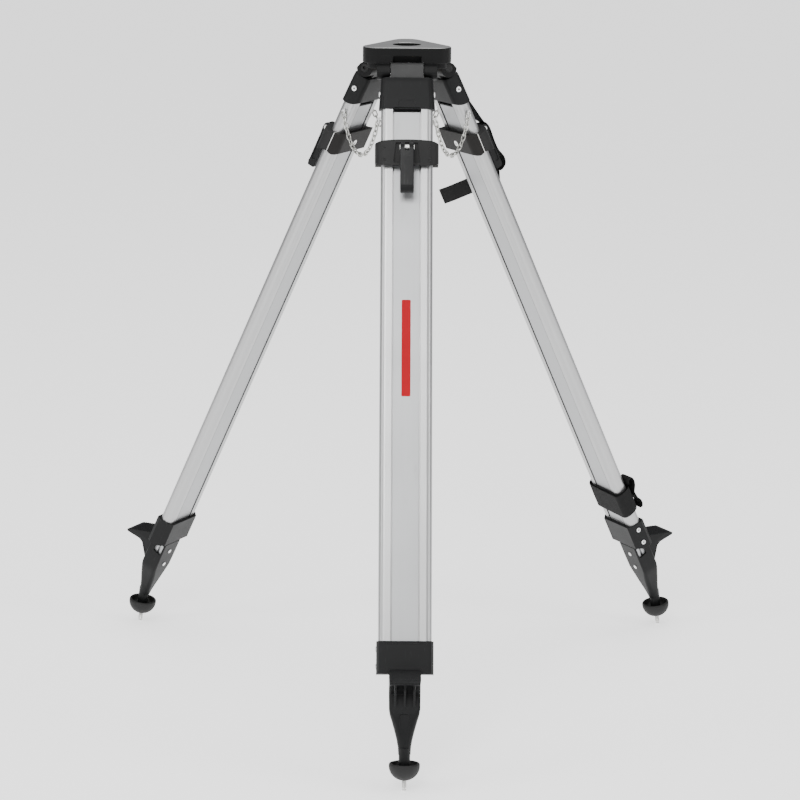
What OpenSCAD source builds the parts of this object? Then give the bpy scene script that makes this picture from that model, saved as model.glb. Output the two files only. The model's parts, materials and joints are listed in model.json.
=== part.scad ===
// Surveyor's tripod with flat triangular head, three twin-rail aluminium legs,
// lever clamps, stepping feet with steel points and screw-up rubber feet.
// Origin: centre of the head's top face, at the mouth of its bore. +Z is up.
// Each leg is drawn once in its own frame: X across the leg, -Y outwards, -Z down the leg,
// zero on the hinge axis (Z) and on the middle plane of the rails (Y).

/* [Stance] */
// Lean of each leg from the vertical, degrees
leg_angle = 25.8; // [15:0.1:32]
// Distance down the leg from the hinge to the top of the end guide
guide_s = 900; // [820:1:1200]

/* [Head] */
// Radius of each rounded corner of the head
corner_r = 23; // [18:0.5:30]
// Distance of each corner's centre from the axis
corner_d = 54; // [48:0.5:66]
// Thickness of the head plate
plate_t = 13; // [8:0.5:20]
// Depth of the skirt under the corners
skirt_h = 25; // [20:0.5:34]
// Radius of the bore for the fixing screw
head_bore_r = 22.6; // [18:0.1:26]
// Distance of each leg hinge from the axis
hinge_r = 50; // [46:0.5:60]
// Depth of the leg hinges under the top face
hinge_drop = 36; // [32:0.5:44]
// Radius of the hinge bolts
bolt_r = 4; // [3:0.5:6]
// Radius of the lugs round the hinge bolts
lug_r = 14.5; // [11:0.5:16]
// Width of the tongue of a leg head, between its two lugs
tongue_w = 51; // [40:1:52]
// Thickness of each lug
lug_t = 21; // [12:0.5:21]

/* [Fixing screw] */
// Major radius of the fixing screw (5/8 inch thread)
stud_r = 7.94; // [6:0.01:9]
// Length of the fixing screw above its flange
stud_len = 17.5; // [15:0.5:24]
// Depth of the screw's tip under the top face when it is let down
stud_drop = 13.5; // [13.5:0.5:15]
// Radius of the fixing screw's shank
shank_r = 5.9; // [4:0.1:7]
// Radius of the bush that the screw turns in
bush_r = 10; // [9:0.1:11]
// Radius of the hand knob
knob_r = 19; // [16:0.5:22]

/* [Rails] */
// Width over both rails of a leg
leg_w = 81; // [80:0.5:100]
// Width of the slot between the rails
slot_w = 44; // [42:0.5:50]
// Thickness of the rails
rail_t = 23; // [20:0.5:28]
// Radius of the rails' outer edges
rail_r = 9; // [4:0.5:9.5]
// Wall of the rails and the inner tube
wall = 1.8; // [1.2:0.1:3]

/* [Inner tube] */
// Thickness of the inner tube
tube_t = 16; // [14:0.5:18]
// Distance from the tube's middle plane to the rails' middle plane, inwards
tube_off = 2.5; // [1:0.1:3]
// Top of the inner tube, down the leg from the hinge
tube_top_s = 71; // [69:0.5:90]

/* [Clamp] */
// Top of the clamp collar, down the leg from the hinge
collar_s = 119; // [110:0.5:160]
// Height of the clamp collar
collar_h = 42; // [36:0.5:60]
// Radius of the lever's pin
pin_r = 4; // [3:0.1:5]
// Width of the lever
lever_w = 21; // [18:0.5:26]
// Length of the lever from its pin to its tip
lever_len = 71; // [50:1:90]
// Thickness of the lever
lever_t = 16; // [12:0.5:18]

/* [Foot] */
// Reach of the step from the rails' middle plane
step_n = 67.5; // [55:0.5:80]
// Inward bend of the steel point, degrees
spike_bend = 16.5; // [0:0.5:24]
// Radius of the steel point's threaded shank
spike_r = 3.5; // [3:0.1:5]
// Length of the steel point from the foot's bend
spike_len = 60; // [56:0.5:70]
// Radius of the rubber foot
rubber_r = 23.4; // [18:0.2:28]

/* [Straps and chains] */
// Width of the webbing
web_w = 26; // [20:1:30]
// Thickness of the webbing
web_t = 1.6; // [1:0.1:2.5]
// Wire diameter of the chain
wire_d = 2.2; // [1.6:0.1:2.4]
// Pitch of the chain
chain_pitch = 9.1; // [8:0.1:10]
// Links in each chain
chain_links = 19; // [17:2:23]

/* [Hidden] */
$fn = 64;
eps = 0.01;
run_fit = 0.05;                       // radial clearance of hinges, shafts and the screw
slide_gap = 0.35;                     // clearance of everything that slides on a leg
face_gap = 0.3;                       // clearance between faces that turn or part

// head
leg_offset = 4;                       // rails' middle plane stands this far out from the hinge
head_gap = 0.8;                       // between a lug and the tongue
lug_in = tongue_w/2 + head_gap;       // a lug's inner face
lug_out = lug_in + lug_t;
bolt_head_r = bolt_r + 2.6;
bolt_head_h = 3;
arm_t = 5;
rib_t = 3;
rib_r = hinge_r - bolt_r - 8.5 - rib_t - 3.5;   // ribs under the plate, from the axis
arm_len = corner_d - 10;              // the swing arm's pivot, from the axis
flange_h = 3;
flange_r = bush_r + 2.4;
flange_z = -stud_drop - stud_len - face_gap;   // top of the bush's flange
arm_z = flange_z - flange_h - 0.1;    // top of the swing arm
boss_bottom = -arm_z - 0.4;           // corner fillings end here
bush_len = 28;
knob_top = arm_z - bush_len - 1;
knob_h = 22;

// leg, from the hinge down
head_top_s = lug_r + 1.6;             // top edge of the leg head's cheeks
head_bot_s = 66;
head_n_out = rail_t/2 + 2.7;
head_n_in = rail_t/2 + 5;
pocket_s = 24;                        // the rails start here
rivet_s = 40.5;
ring_r = 4.5;                         // ring of the leg head's rivets
ring_x = 1.2;                         // its seat, from the rail's side
eye_s = 83;
guide_h = 49.5;
guide_w = leg_w + 5;
rail_end_s = guide_s + guide_h - 5;
foot_s = guide_s + guide_h + 1.5;     // 1.5 mm under the guide when the leg is pushed in
foot_bend_s = foot_s + 112.7;         // bend of the foot
tube_w = slot_w - 4;                  // width of the inner tube
foot_w = tube_w + 7.4;                // width of the stepping foot
collar_w = leg_w + 18.4;              // width of the clamp collar
tube_end_s = foot_s + 22.5;
tube_out = tube_t/2 - tube_off;       // the tube's outer face, outwards from the middle plane
tube_in = -tube_t/2 - tube_off;       // its inner face
key_t = 3;                            // key on each rail that runs in a groove of the tube
key_gap = 0.4;
key_depth = 3;
plate_n = rail_t/2 + slide_gap + 10.7;   // outer face of the clamp plate
shell_n = rail_t/2 + slide_gap + 8.6;    // inner face of the clamp shell
split_out = -1;                       // the plate's sides end here
split_in = -3;                        // the shell's sides start here
collar_r = 10;
pin_s = collar_s + 16.8;
pin_n = plate_n + lever_t/2 + 1.85;   // the lever's pin stands this far out
fork_w = 6.8;
shank_d = 6;
foot_taper_s = foot_s + 51;
shank_w = 19.4;                       // width of the foot at its lower end
foot_out = rail_t/2 + 5.5;
foot_in = -rail_t/2 - 1.5;
bend_n = 1.5;
rim_u = 17;                           // the rubber foot's rim, along the point's axis
floor_u = 30;                         // floor of its cup
stub_u = floor_u - 0.6;               // end of the foot's round stub
stub_r = 8.6;

// straps on the right leg
tie_n = rail_t/2 + 0.3;                // inner face of the tie strap
strap_n = tie_n + web_t + 0.3;        // inner face of the shoulder strap
band_s = guide_s - 74;
band_h = 40;
keeper_s = pin_s + 12;
tie_s = pin_s + 82;

// a chain hangs in a catenary between the eyes of two legs
function sinh(x) = (exp(x) - exp(-x)) / 2;
function cosh(x) = (exp(x) + exp(-x)) / 2;
function asinh(x) = ln(x + sqrt(x*x + 1));
function cat_a(span, len, lo, hi, n) =
    let (mid = (lo + hi) / 2)
    n == 0 ? mid
    : 2*mid*sinh(span / 2 / mid) > len ? cat_a(span, len, mid, hi, n - 1)
    : cat_a(span, len, lo, mid, n - 1);
eye_x = leg_w/2 + 4.6;
eye_r = 1.5;                          // shank of an eye
eye_rad = hinge_r + eye_s*sin(leg_angle) + leg_offset*cos(leg_angle);
eye_z = -hinge_drop - eye_s*cos(leg_angle) + leg_offset*sin(leg_angle);
link_r = 3.1;                         // mean radius of a link's round ends
link_half = (chain_pitch + wire_d)/2 + 0.05 - link_r;
chain_len = (chain_links - 1)*chain_pitch + 2*(link_half + link_r);
function rot2(p, a) = [p.x*cos(a) - p.y*sin(a), p.x*sin(a) + p.y*cos(a)];
chain_p0 = [eye_x, -eye_rad];
chain_p1 = rot2([-eye_x, -eye_rad], 120);
chain_span = norm(chain_p1 - chain_p0);
chain_a = cat_a(chain_span, chain_len, 8, 400, 40);

module on_leg(i)
    rotate([0, 0, 120*i]) translate([0, -hinge_r, -hinge_drop]) rotate([-leg_angle, 0, 0])
        translate([0, -leg_offset, 0]) children();
// a flat outline of [across, down the leg], made thick outwards from n0 to n1
module face_slab(n0, n1) translate([0, -n0, 0]) rotate([90, 0, 0]) linear_extrude(n1 - n0)
    mirror([0, 1]) children();
// a side outline of [outwards, down the leg], made wide across the leg
module side_slab(w) rotate([0, 0, -90]) translate([0, w/2, 0]) rotate([90, 0, 0]) linear_extrude(w)
    mirror([0, 1]) children();
// a cross section of [across, inwards], drawn down the leg from s0 to s1
module along(s0, s1) translate([0, 0, -s1]) linear_extrude(s1 - s0) children();
// a round bar across the leg
module cross_bar(s, n, r, x0, x1) translate([x0, -n, -s]) rotate([0, 90, 0]) cylinder(r = r, h = x1 - x0);
// a round bar outwards
module out_bar(s, x, r, n0, n1) translate([x, -n0, -s]) rotate([90, 0, 0]) cylinder(r = r, h = n1 - n0);
module on_point() translate([0, -bend_n, -foot_bend_s]) rotate([spike_bend, 0, 0]) children();
module round_rect(w, h, r) {
    square([w, h - 2*r], center = true);
    square([w - 2*r, h], center = true);
    for (x = [-1, 1], y = [-1, 1]) translate([x*(w/2 - r), y*(h/2 - r)]) circle(r);
}

// ---- head ----
function corner(a) = corner_d*[cos(a), sin(a)];
module head_outline() {
    polygon([for (a = [-30, 90, 210], b = [-60, 60]) corner(a) + corner_r*[cos(a + b), sin(a + b)]]);
    for (a = [-30, 90, 210]) translate(corner(a)) circle(corner_r);
}
module lug() intersection() {
    union() {
        translate([0, -hinge_r, -hinge_drop]) rotate([0, 90, 0]) cylinder(r = lug_r, h = lug_t);
        translate([0, -hinge_r - lug_r, -hinge_drop]) cube([lug_t, 2*lug_r, hinge_drop - plate_t + eps]);
    }
    translate([lug_t/2, 0, 0]) side_slab(lug_t + 1) polygon([[0, 0], [hinge_r - 0.5, 0], [hinge_r - 0.5, skirt_h],
        [hinge_r + lug_r + 0.6, hinge_drop + 1], [hinge_r + lug_r + 0.6, 2*hinge_drop], [0, 2*hinge_drop]]);
}
module head_plate() color("#3c3d40") difference() {
    union() {
        translate([0, 0, -plate_t]) linear_extrude(plate_t) head_outline();
        // skirt under the corners
        translate([0, 0, -skirt_h]) linear_extrude(skirt_h - plate_t + eps) intersection() {
            head_outline();
            for (a = [-30, 90, 210]) rotate(a) translate([lug_out*0.93, -60]) square([60, 120]);
        }
        for (a = [-30, 90, 210]) translate([each corner(a), -boss_bottom])
            cylinder(r = 16, h = boss_bottom - plate_t + eps);
        for (i = [0:2]) rotate(120*i) {
            translate([lug_in, 0, 0]) lug();
            translate([-lug_out, 0, 0]) lug();
            // stiffening rib behind the tongue
            translate([-lug_in, -rib_r - rib_t, -skirt_h]) cube([2*lug_in, rib_t, skirt_h - plate_t + eps]);
        }
    }
    translate([0, 0, -plate_t - 1]) cylinder(r = head_bore_r, h = plate_t + 2);
    // room for the tongues' barrels between the lugs
    for (i = [0:2]) rotate(120*i) translate([-lug_in, -hinge_r, -hinge_drop]) rotate([0, 90, 0])
        cylinder(r = bolt_r + 8.5 + head_gap, h = 2*lug_in);
    for (i = [0:2]) rotate(120*i) translate([0, -hinge_r, -hinge_drop]) rotate([0, 90, 0]) {
        translate([0, 0, -lug_out - 1]) cylinder(r = bolt_r + run_fit, h = 2*lug_out + 2);
        for (z = [-lug_out - 1, lug_out - bolt_head_h - 0.5])
            translate([0, 0, z]) cylinder(r = bolt_head_r + 0.4, h = bolt_head_h + 1.5);
    }
    // pivot hole of the swing arm
    translate([0, arm_len, -boss_bottom - 1]) cylinder(r = bolt_r - 1, h = boss_bottom - plate_t + 1);
}
module hinge_bolt() color("#b9bbbd") translate([0, -hinge_r, -hinge_drop]) rotate([0, 90, 0]) {
    translate([0, 0, -lug_out + bolt_head_h]) cylinder(r = bolt_r, h = 2*lug_out - 2*bolt_head_h);
    difference() {
        for (z = [-lug_out, lug_out - bolt_head_h]) translate([0, 0, z]) cylinder(r = bolt_head_r, h = bolt_head_h);
        translate([0, 0, lug_out - 2]) cylinder(r = 3, h = 3, $fn = 6);
    }
}
module swing_arm() color("#35363a") difference() {
    union() {
        translate([0, 0, arm_z - arm_t]) cylinder(r = bush_r + 5, h = arm_t);
        translate([0, arm_len, arm_z - arm_t]) cylinder(r = 8.5, h = arm_t);
        translate([-7, 0, arm_z - arm_t]) cube([14, arm_len, arm_t]);
    }
    translate([0, 0, arm_z - arm_t - 1]) cylinder(r = bush_r + run_fit, h = arm_t + 2);
    translate([0, arm_len, arm_z - arm_t - 1]) cylinder(r = bolt_r + run_fit, h = arm_t + 2);
}
module arm_pivot() color("#b9bbbd") translate([0, arm_len, 0]) {
    translate([0, 0, arm_z - arm_t - 3.2]) cylinder(r = 7, h = 3);
    translate([0, 0, arm_z - arm_t - 1]) cylinder(r = bolt_r, h = -boss_bottom - arm_z + arm_t + 1);
    translate([0, 0, -boss_bottom - eps]) cylinder(r = bolt_r - 1, h = boss_bottom - plate_t - 1);
}
module screw_bush() color("#b08d3c") difference() {
    union() {
        translate([0, 0, flange_z - flange_h]) cylinder(r = flange_r, h = flange_h);
        translate([0, 0, flange_z - flange_h - bush_len]) cylinder(r = bush_r, h = bush_len + 1);
    }
    translate([0, 0, flange_z - flange_h - bush_len - 1]) cylinder(r = shank_r + run_fit, h = bush_len + flange_h + 2);
}
module fixing_screw() color("#c8c9cb") difference() {
    union() {
        translate([0, 0, flange_z + face_gap]) cylinder(r = stud_r, h = stud_len);
        translate([0, 0, knob_top - knob_h + 2]) cylinder(r = shank_r, h = flange_z - knob_top + knob_h - 1);
    }
    translate([0, 0, knob_top - knob_h]) cylinder(r = 2.6, h = 200);
}
module fixing_knob() color("#2b2c2f") difference() {
    union() {
        translate([0, 0, knob_top - knob_h]) cylinder(r = knob_r, h = knob_h - 6);
        translate([0, 0, knob_top - 6 - eps]) cylinder(r = knob_r - 7, h = 6);
    }
    for (a = [0:30:359]) rotate(a) translate([knob_r + 2.4, 0, knob_top - knob_h - 1]) cylinder(r = 4.2, h = knob_h, $fn = 24);
    translate([0, 0, knob_top - knob_h + 2]) cylinder(r = shank_r, h = knob_h);
    translate([0, 0, knob_top - knob_h - 1]) cylinder(r = 4, h = 4);
}

// ---- upper leg ----
module at_eye() translate([eye_x, 0, -eye_s]) rotate([leg_angle, 0, 0]) children();
// the shank of an eye reaches from the top of its ring into the rail
module eye_shank(r, more) at_eye() translate([0, 0, link_r]) rotate([0, -90, 0])
    cylinder(r = r, h = eye_x - leg_w/2 + wall + more);
module rail_outline(g = 0) {
    x0 = slot_w/2 - g;
    x1 = leg_w/2 + g;
    h = rail_t/2 + g;
    r = rail_r + g;
    translate([x0, -h]) square([x1 - r - x0, 2*h]);
    translate([x0, -h + r]) square([x1 - x0, 2*h - 2*r]);
    for (y = [-1, 1]) translate([x1 - r, y*(h - r)]) circle(r);
}
module rail(s) color("#cfd0d2") mirror([s < 0 ? 1 : 0, 0, 0]) difference() {
    along(pocket_s, rail_end_s) {
        difference() {
            rail_outline();
            rail_outline(-wall);
        }
        translate([slot_w/2 - key_depth - (slot_w - tube_w)/2, tube_off - key_t/2])
            square([key_depth + (slot_w - tube_w)/2 + wall/2, key_t]);
    }
    cross_bar(rivet_s, 0, 2.4, leg_w/2 - wall - 1, leg_w/2 + 1);
    eye_shank(eye_r + 0.1, 5);
    if (s < 0) for (t = [11, 37]) cross_bar(guide_s + t, 0, 2, leg_w/2 - wall - 1, leg_w/2 + 1);
}
module leg_head() color("#2f3033") difference() {
    union() {
        intersection() {
            face_slab(-30, 30) polygon([[-leg_w/2, head_top_s], [leg_w/2, head_top_s],
                [leg_w/2 + 3.6, head_bot_s + 3], [-leg_w/2 - 3.6, head_bot_s + 3]]);
            side_slab(120) polygon([[-head_n_in + 3, head_top_s], [head_n_out - 1, head_top_s],
                [head_n_out, head_top_s + 4], [head_n_out, head_bot_s], [7, head_bot_s + 1.5],
                [-6, head_bot_s - 2], [-head_n_in, head_bot_s - 8], [-head_n_in, head_top_s + 5]]);
            along(0, 90) translate([0, (head_n_in - head_n_out)/2])
                round_rect(leg_w + 7.2, head_n_in + head_n_out, rail_r);
        }
        side_slab(tongue_w) {
            translate([-leg_offset, 0]) circle(bolt_r + 8.5);
            polygon([[-leg_offset - bolt_r - 8.5, 0], [-head_n_in + 3, head_top_s + 5],
                [head_n_out - 3, head_top_s + 5], [bolt_r + 8.5 - leg_offset, 0]]);
        }
    }
    cross_bar(0, -leg_offset, bolt_r + run_fit, -tongue_w, tongue_w);
    for (m = [0, 1]) mirror([m, 0, 0]) {
        along(pocket_s, 90) rail_outline(0.1);
        cross_bar(rivet_s, 0, 2.4, leg_w/2 - 4, leg_w);
        cross_bar(rivet_s, 0, ring_r + 0.2, leg_w/2 + ring_x, leg_w);
    }
    // room for the end of the inner tube
    along(pocket_s, 90) translate([0, tube_off]) square([slot_w + 2, tube_t + 1], center = true);
}
module eye_ring() at_eye() rotate([90, 0, 60]) rotate_extrude() translate([link_r, 0])
    circle(wire_d/2, $fn = 16);
module leg_fixings() color("#e4e4e4") {
    for (m = [0, 1]) mirror([m, 0, 0]) {
        cross_bar(rivet_s, 0, 2.3, leg_w/2 - wall - 1, leg_w/2 + ring_x + 0.1);
        difference() {
            cross_bar(rivet_s, 0, ring_r, leg_w/2 + ring_x, leg_w/2 + ring_x + 1.8);
            cross_bar(rivet_s, 0, 1.6, leg_w/2 + ring_x + 1, leg_w/2 + 6);
        }
        eye_shank(eye_r, 1);
        eye_ring();
    }
    for (t = [11, 37]) {
        cross_bar(guide_s + t, 0, 1.9, -leg_w/2 - 2.6, -leg_w/2 + wall + 1);
        cross_bar(guide_s + t, 0, 3.4, -guide_w/2 - 1.4, -guide_w/2);
    }
}
module end_guide() color("#303134") difference() {
    face_slab(-head_n_in, head_n_out + 1.5) translate([0, guide_s + guide_h/2])
        square([guide_w, guide_h], center = true);
    for (m = [0, 1]) mirror([m, 0, 0]) {
        along(guide_s - 1, rail_end_s + 0.2) {
            rail_outline(0.05);
            // room for the rail's key
            translate([slot_w/2 - 4, tube_off - key_t/2 - 0.05]) square([4.5, key_t + 0.1]);
        }
        for (y = [-1, 1]) translate([guide_w/2, y < 0 ? -head_n_out - 1.5 : head_n_in, 0])
            rotate([0, 0, 45]) translate([-5, -5, -guide_s - guide_h - 1]) cube([10, 10, guide_h + 2]);
    }
    along(guide_s - 1, guide_s + guide_h + 1) translate([0, tube_off])
        square([tube_w + 2*slide_gap, tube_t + 2*slide_gap], center = true);
    for (t = [11, 37]) cross_bar(guide_s + t, 0, 2, -guide_w, -leg_w/4);
}

// ---- lower leg ----
module tube_outline(g = 0) difference() {
    translate([0, tube_off]) square([tube_w, tube_t], center = true);
    for (x = [-1, 1]) translate([x*tube_w/2, tube_off])
        square([2*(key_depth + key_gap), key_t + 2*key_gap], center = true);
}
module inner_tube() color("#c6c7ca") difference() {
    along(tube_top_s, tube_end_s) difference() {
        tube_outline();
        translate([0, tube_off])
            square([tube_w - 2*(key_depth + key_gap + wall), tube_t - 2*wall], center = true);
    }
    out_bar(pin_s, 0, shank_d/2 + 0.1, -20, 20);
    for (t = [18, 46]) if (foot_s + t < tube_end_s) out_bar(foot_s + t, 0, 2, -20, 0);
}
module tube_plug() color("#2a2b2e") {
    along(tube_top_s - 2.6, tube_top_s) tube_outline();
    along(tube_top_s - 1, tube_top_s + 12) translate([0, tube_off])
        square([tube_w - 2*(key_depth + key_gap + wall), tube_t - 2*wall], center = true);
}
module collar_outline() difference() {
    translate([0, (shell_n - plate_n)/2]) round_rect(collar_w, shell_n + plate_n, collar_r);
    for (m = [0, 1]) mirror([m, 0]) rail_outline(slide_gap);
    translate([0, tube_off]) square([slot_w + 2, tube_t], center = true);
}
module clamp_shell() color("#3f3f41") difference() {
    intersection() {
        along(collar_s, collar_s + collar_h) difference() {
            collar_outline();
            translate([-80, -80 - split_in]) square([160, 80]);
        }
        side_slab(120) polygon([[0, collar_s], [-6, collar_s], [-shell_n, collar_s + 6], [-shell_n, collar_s + collar_h],
            [-8, collar_s + collar_h], [0, collar_s + collar_h - 3]]);
    }
    out_bar(pin_s, 0, shank_d/2 + 0.1, -40, 0);
    out_bar(pin_s, 0, 5.6, -40, -shell_n + 3);
}
module clamp_plate() color("#3a3b3e") difference() {
    union() {
        along(collar_s, collar_s + collar_h) intersection() {
            collar_outline();
            translate([-80, -80 - split_out]) square([160, 80]);
        }
        for (x = [-33, 33], t = [9, 32]) out_bar(collar_s + t, x, 2.4, plate_n - 1, plate_n + 0.8);
    }
    out_bar(pin_s, 0, shank_d/2 + 0.1, -20, 40);
    face_slab(plate_n - 2.2, plate_n + 5) translate([0, collar_s + collar_h/2 + 6])
        square([lever_w + 8, collar_h - 16], center = true);
}
module clamp_bolt() color("#d6d7d9") {
    out_bar(pin_s, 0, shank_d/2, -shell_n + 1, pin_n);
    difference() {
        out_bar(pin_s, 0, 5.2, -shell_n + 0.2, -shell_n + 3);
        out_bar(pin_s, 0, 2.6, -shell_n - 1, -shell_n + 1.6, $fn = 6);
    }
    cross_bar(pin_s, pin_n, pin_r, -lever_w/2 - 0.8, lever_w/2 + 0.8);
}
module lever_side(r0, r1) {
    translate([pin_n, pin_s]) circle(r0);
    translate([pin_n - lever_t/2, pin_s]) square([lever_t, lever_len - r1]);
    translate([pin_n, pin_s + lever_len - lever_t/2]) circle(lever_t/2);
}
module clamp_lever() color("#26272a") difference() {
    side_slab(lever_w) lever_side(lever_t/2 + 1.2, lever_t/2);
    cross_bar(pin_s, pin_n, pin_r + run_fit, -lever_w, lever_w);
    // fork for the bolt
    translate([-fork_w/2, -pin_n - 20, -pin_s - pin_r - 1.5]) cube([fork_w, 40, 30]);
    // side pockets
    for (m = [0, 1]) mirror([m, 0, 0]) translate([lever_w/2 - 2, -pin_n - lever_t/2 + 3.4, -pin_s - lever_len + 8])
        cube([5, lever_t - 6.8, lever_len - 22]);
}
module foot_side() polygon([[foot_in, foot_s], [foot_out, foot_s], [foot_out + 0.8, foot_s + 36],
    [foot_out - 0.6, foot_s + 70], [foot_out - 4, foot_s + 92], [foot_out - 9, foot_bend_s + 5],
    [-shank_w/2 - 0.6, foot_bend_s + 5], [foot_in, foot_s + 52]]);
module foot() color("#2d2e30") difference() {
    union() {
        intersection() {
            side_slab(foot_w + 20) foot_side();
            face_slab(-40, 40) polygon([[-foot_w/2, foot_s], [foot_w/2, foot_s], [foot_w/2, foot_taper_s],
                [shank_w/2, foot_bend_s + 6], [-shank_w/2, foot_bend_s + 6], [-foot_w/2, foot_taper_s]]);
        }
        on_point() translate([0, 0, -stub_u]) cylinder(r = stub_r, h = stub_u + 4);
        // step, its top edge in front of the end guide
        side_slab(foot_w) polygon([[foot_out - 1, foot_s + 2], [foot_out + 2.2, foot_s - 8], [step_n - 3, foot_s + 14.5],
            [step_n, foot_s + 17.6], [step_n - 1.6, foot_s + 20.6], [foot_out + 21.4, foot_s + 17.6],
            [foot_out - 1, foot_s + 29]]);
        side_slab(5) polygon([[foot_out - 1, foot_s + 17], [step_n - 6, foot_s + 19], [foot_out - 1, foot_s + 52]]);
    }
    // socket for the inner tube, and the cut-outs that show its sides
    along(foot_s - 20, tube_end_s + 0.1) translate([0, tube_off]) square([tube_w + 0.1, tube_t + 0.1], center = true);
    for (m = [0, 1]) mirror([m, 0, 0]) translate([tube_w/2 - 1, -4, -tube_end_s]) cube([20, 13, tube_end_s - foot_s - 2]);
    on_point() translate([0, 0, -stub_u - 1]) cylinder(r = spike_r, h = 22);
    for (t = [18, 46]) out_bar(foot_s + t, 0, 2, -40, -6);
}
module spike() color("#c9cacc") on_point() {
    translate([0, 0, -spike_len + 7]) cylinder(r = spike_r, h = spike_len - 7 - stub_u + 20);
    translate([0, 0, -spike_len + 3.4]) cylinder(r1 = spike_r - 0.6, r2 = spike_r - 1.2, h = 3.7);
    translate([0, 0, -spike_len + 1]) cylinder(r1 = 1.6, r2 = spike_r - 0.6, h = 2.5);
    translate([0, 0, -spike_len]) cylinder(r1 = 0.8, r2 = 1.6, h = 1.1);
}
module foot_rivets() color("#e4e4e4") for (t = [18, 46]) {
    out_bar(foot_s + t, 0, 1.9, foot_in - 0.5, -tube_off - tube_t/2 + 4);
    out_bar(foot_s + t, 0, 3.6, foot_in - 1, foot_in);
}
module rubber_foot() color("#26262a") on_point() rotate([180, 0, 0]) rotate_extrude() polygon([
    [spike_r + run_fit, floor_u], [stub_r + 0.4, floor_u], [stub_r + 0.4, floor_u - 4], [rubber_r - 5, rim_u + 7],
    [rubber_r - 4.2, rim_u + 0.6], [rubber_r - 3.4, rim_u], [rubber_r - 1.2, rim_u], [rubber_r - 0.2, rim_u + 1.4],
    [rubber_r, rim_u + 3], for (a = [0:10:80]) [rubber_r*cos(a), rim_u + 4 + (rubber_r - 1)*sin(a)],
    [spike_r + run_fit, rim_u + 3 + rubber_r]]);

// ---- chains and straps ----
module link() for (s = [-1, 1]) {
    translate([-link_half, s*link_r, 0]) rotate([0, 90, 0]) cylinder(r = wire_d/2, h = 2*link_half, $fn = 16);
    translate([s*link_half, 0, 0]) rotate([0, 0, s*-90]) rotate_extrude(angle = 180)
        translate([link_r, 0]) circle(wire_d/2, $fn = 16);
}
module chain() {
    dir = (chain_p1 - chain_p0)/chain_span;
    low = chain_a*cosh(chain_span / 2 / chain_a);
    translate([each (chain_p0 + chain_p1)/2, eye_z]) rotate([0, 0, atan2(dir.y, dir.x)])
        for (k = [0:chain_links - 1]) {
            u = (k - (chain_links - 1)/2)*chain_pitch;
            x = chain_a*asinh(u/chain_a);
            translate([x, 0, chain_a*cosh(x/chain_a) - low]) rotate([0, -atan(sinh(x/chain_a)), 0])
                rotate([k % 2 == 0 ? 0 : 90, 0, 0]) link();
        }
}
module spreader_chains() color("#d8d8d6") for (i = [0:2]) rotate(120*i) chain();
// a strip of webbing: its side outline follows the points [outwards, down the leg]
module web(pts, t = web_t) side_slab(web_w) polygon(concat(pts,
    [for (k = [len(pts) - 1:-1:0]) pts[k] + [t, 0]]));
module shoulder_strap() color("#1f1f21") {
    web([[head_n_out + 0.3, head_bot_s - 6], [head_n_out + 1, head_bot_s + 4], [pin_n + 4, pin_s - 12]]);
    web([[pin_n - lever_t/2 - 0.6, pin_s + lever_len + 4], [strap_n + 1.5, pin_s + lever_len + 30],
        [strap_n, pin_s + lever_len + 60], [strap_n, band_s - 1]]);
}
module strap_keeper() color("#1f1f21") side_slab(web_w) polygon([
    [pin_n + lever_t/2, keeper_s], [pin_n + lever_t/2, pin_s + lever_len + 1],
    [pin_n + lever_t/2 + web_t, pin_s + lever_len + 1], [pin_n + lever_t/2 + 4.6, pin_s + lever_len - 8],
    [pin_n + lever_t/2 + 2, keeper_s]]);
module tie_strap() color("#1f1f21") along(tie_s, tie_s + web_w) polygon([
    [-14, -tie_n - web_t], [leg_w/2 - 6, -tie_n - web_t], [leg_w/2 + 5, -7.5], [leg_w/2 + 50, 38.5],
    [leg_w/2 + 49, 39.7], [leg_w/2 + 4, -6.4], [leg_w/2 - 7, -tie_n], [-14, -tie_n]]);
module band_strap() color("#1c1c1e") along(band_s, band_s + band_h) difference() {
    translate([0, 0.5]) round_rect(leg_w + 9, rail_t + 10, rail_r + 3);
    translate([0, 0.5]) round_rect(leg_w + 2, rail_t + 3, rail_r);
}

head_plate();
swing_arm();
arm_pivot();
screw_bush();
fixing_screw();
fixing_knob();
rotate(0) hinge_bolt();  // front_hinge_bolt
rotate(120) hinge_bolt();  // right_hinge_bolt
rotate(240) hinge_bolt();  // left_hinge_bolt
on_leg(0) leg_head();  // front_leg_head
on_leg(1) leg_head();  // right_leg_head
on_leg(2) leg_head();  // left_leg_head
on_leg(0) rail(1);  // front_rail_a
on_leg(1) rail(1);  // right_rail_a
on_leg(2) rail(1);  // left_rail_a
on_leg(0) rail(-1);  // front_rail_b
on_leg(1) rail(-1);  // right_rail_b
on_leg(2) rail(-1);  // left_rail_b
on_leg(0) end_guide();  // front_end_guide
on_leg(1) end_guide();  // right_end_guide
on_leg(2) end_guide();  // left_end_guide
on_leg(0) leg_fixings();  // front_leg_fixings
on_leg(1) leg_fixings();  // right_leg_fixings
on_leg(2) leg_fixings();  // left_leg_fixings
on_leg(0) inner_tube();  // front_inner_tube
on_leg(1) inner_tube();  // right_inner_tube
on_leg(2) inner_tube();  // left_inner_tube
on_leg(0) tube_plug();  // front_tube_plug
on_leg(1) tube_plug();  // right_tube_plug
on_leg(2) tube_plug();  // left_tube_plug
on_leg(0) clamp_shell();  // front_clamp_shell
on_leg(1) clamp_shell();  // right_clamp_shell
on_leg(2) clamp_shell();  // left_clamp_shell
on_leg(0) clamp_plate();  // front_clamp_plate
on_leg(1) clamp_plate();  // right_clamp_plate
on_leg(2) clamp_plate();  // left_clamp_plate
on_leg(0) clamp_bolt();  // front_clamp_bolt
on_leg(1) clamp_bolt();  // right_clamp_bolt
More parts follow.
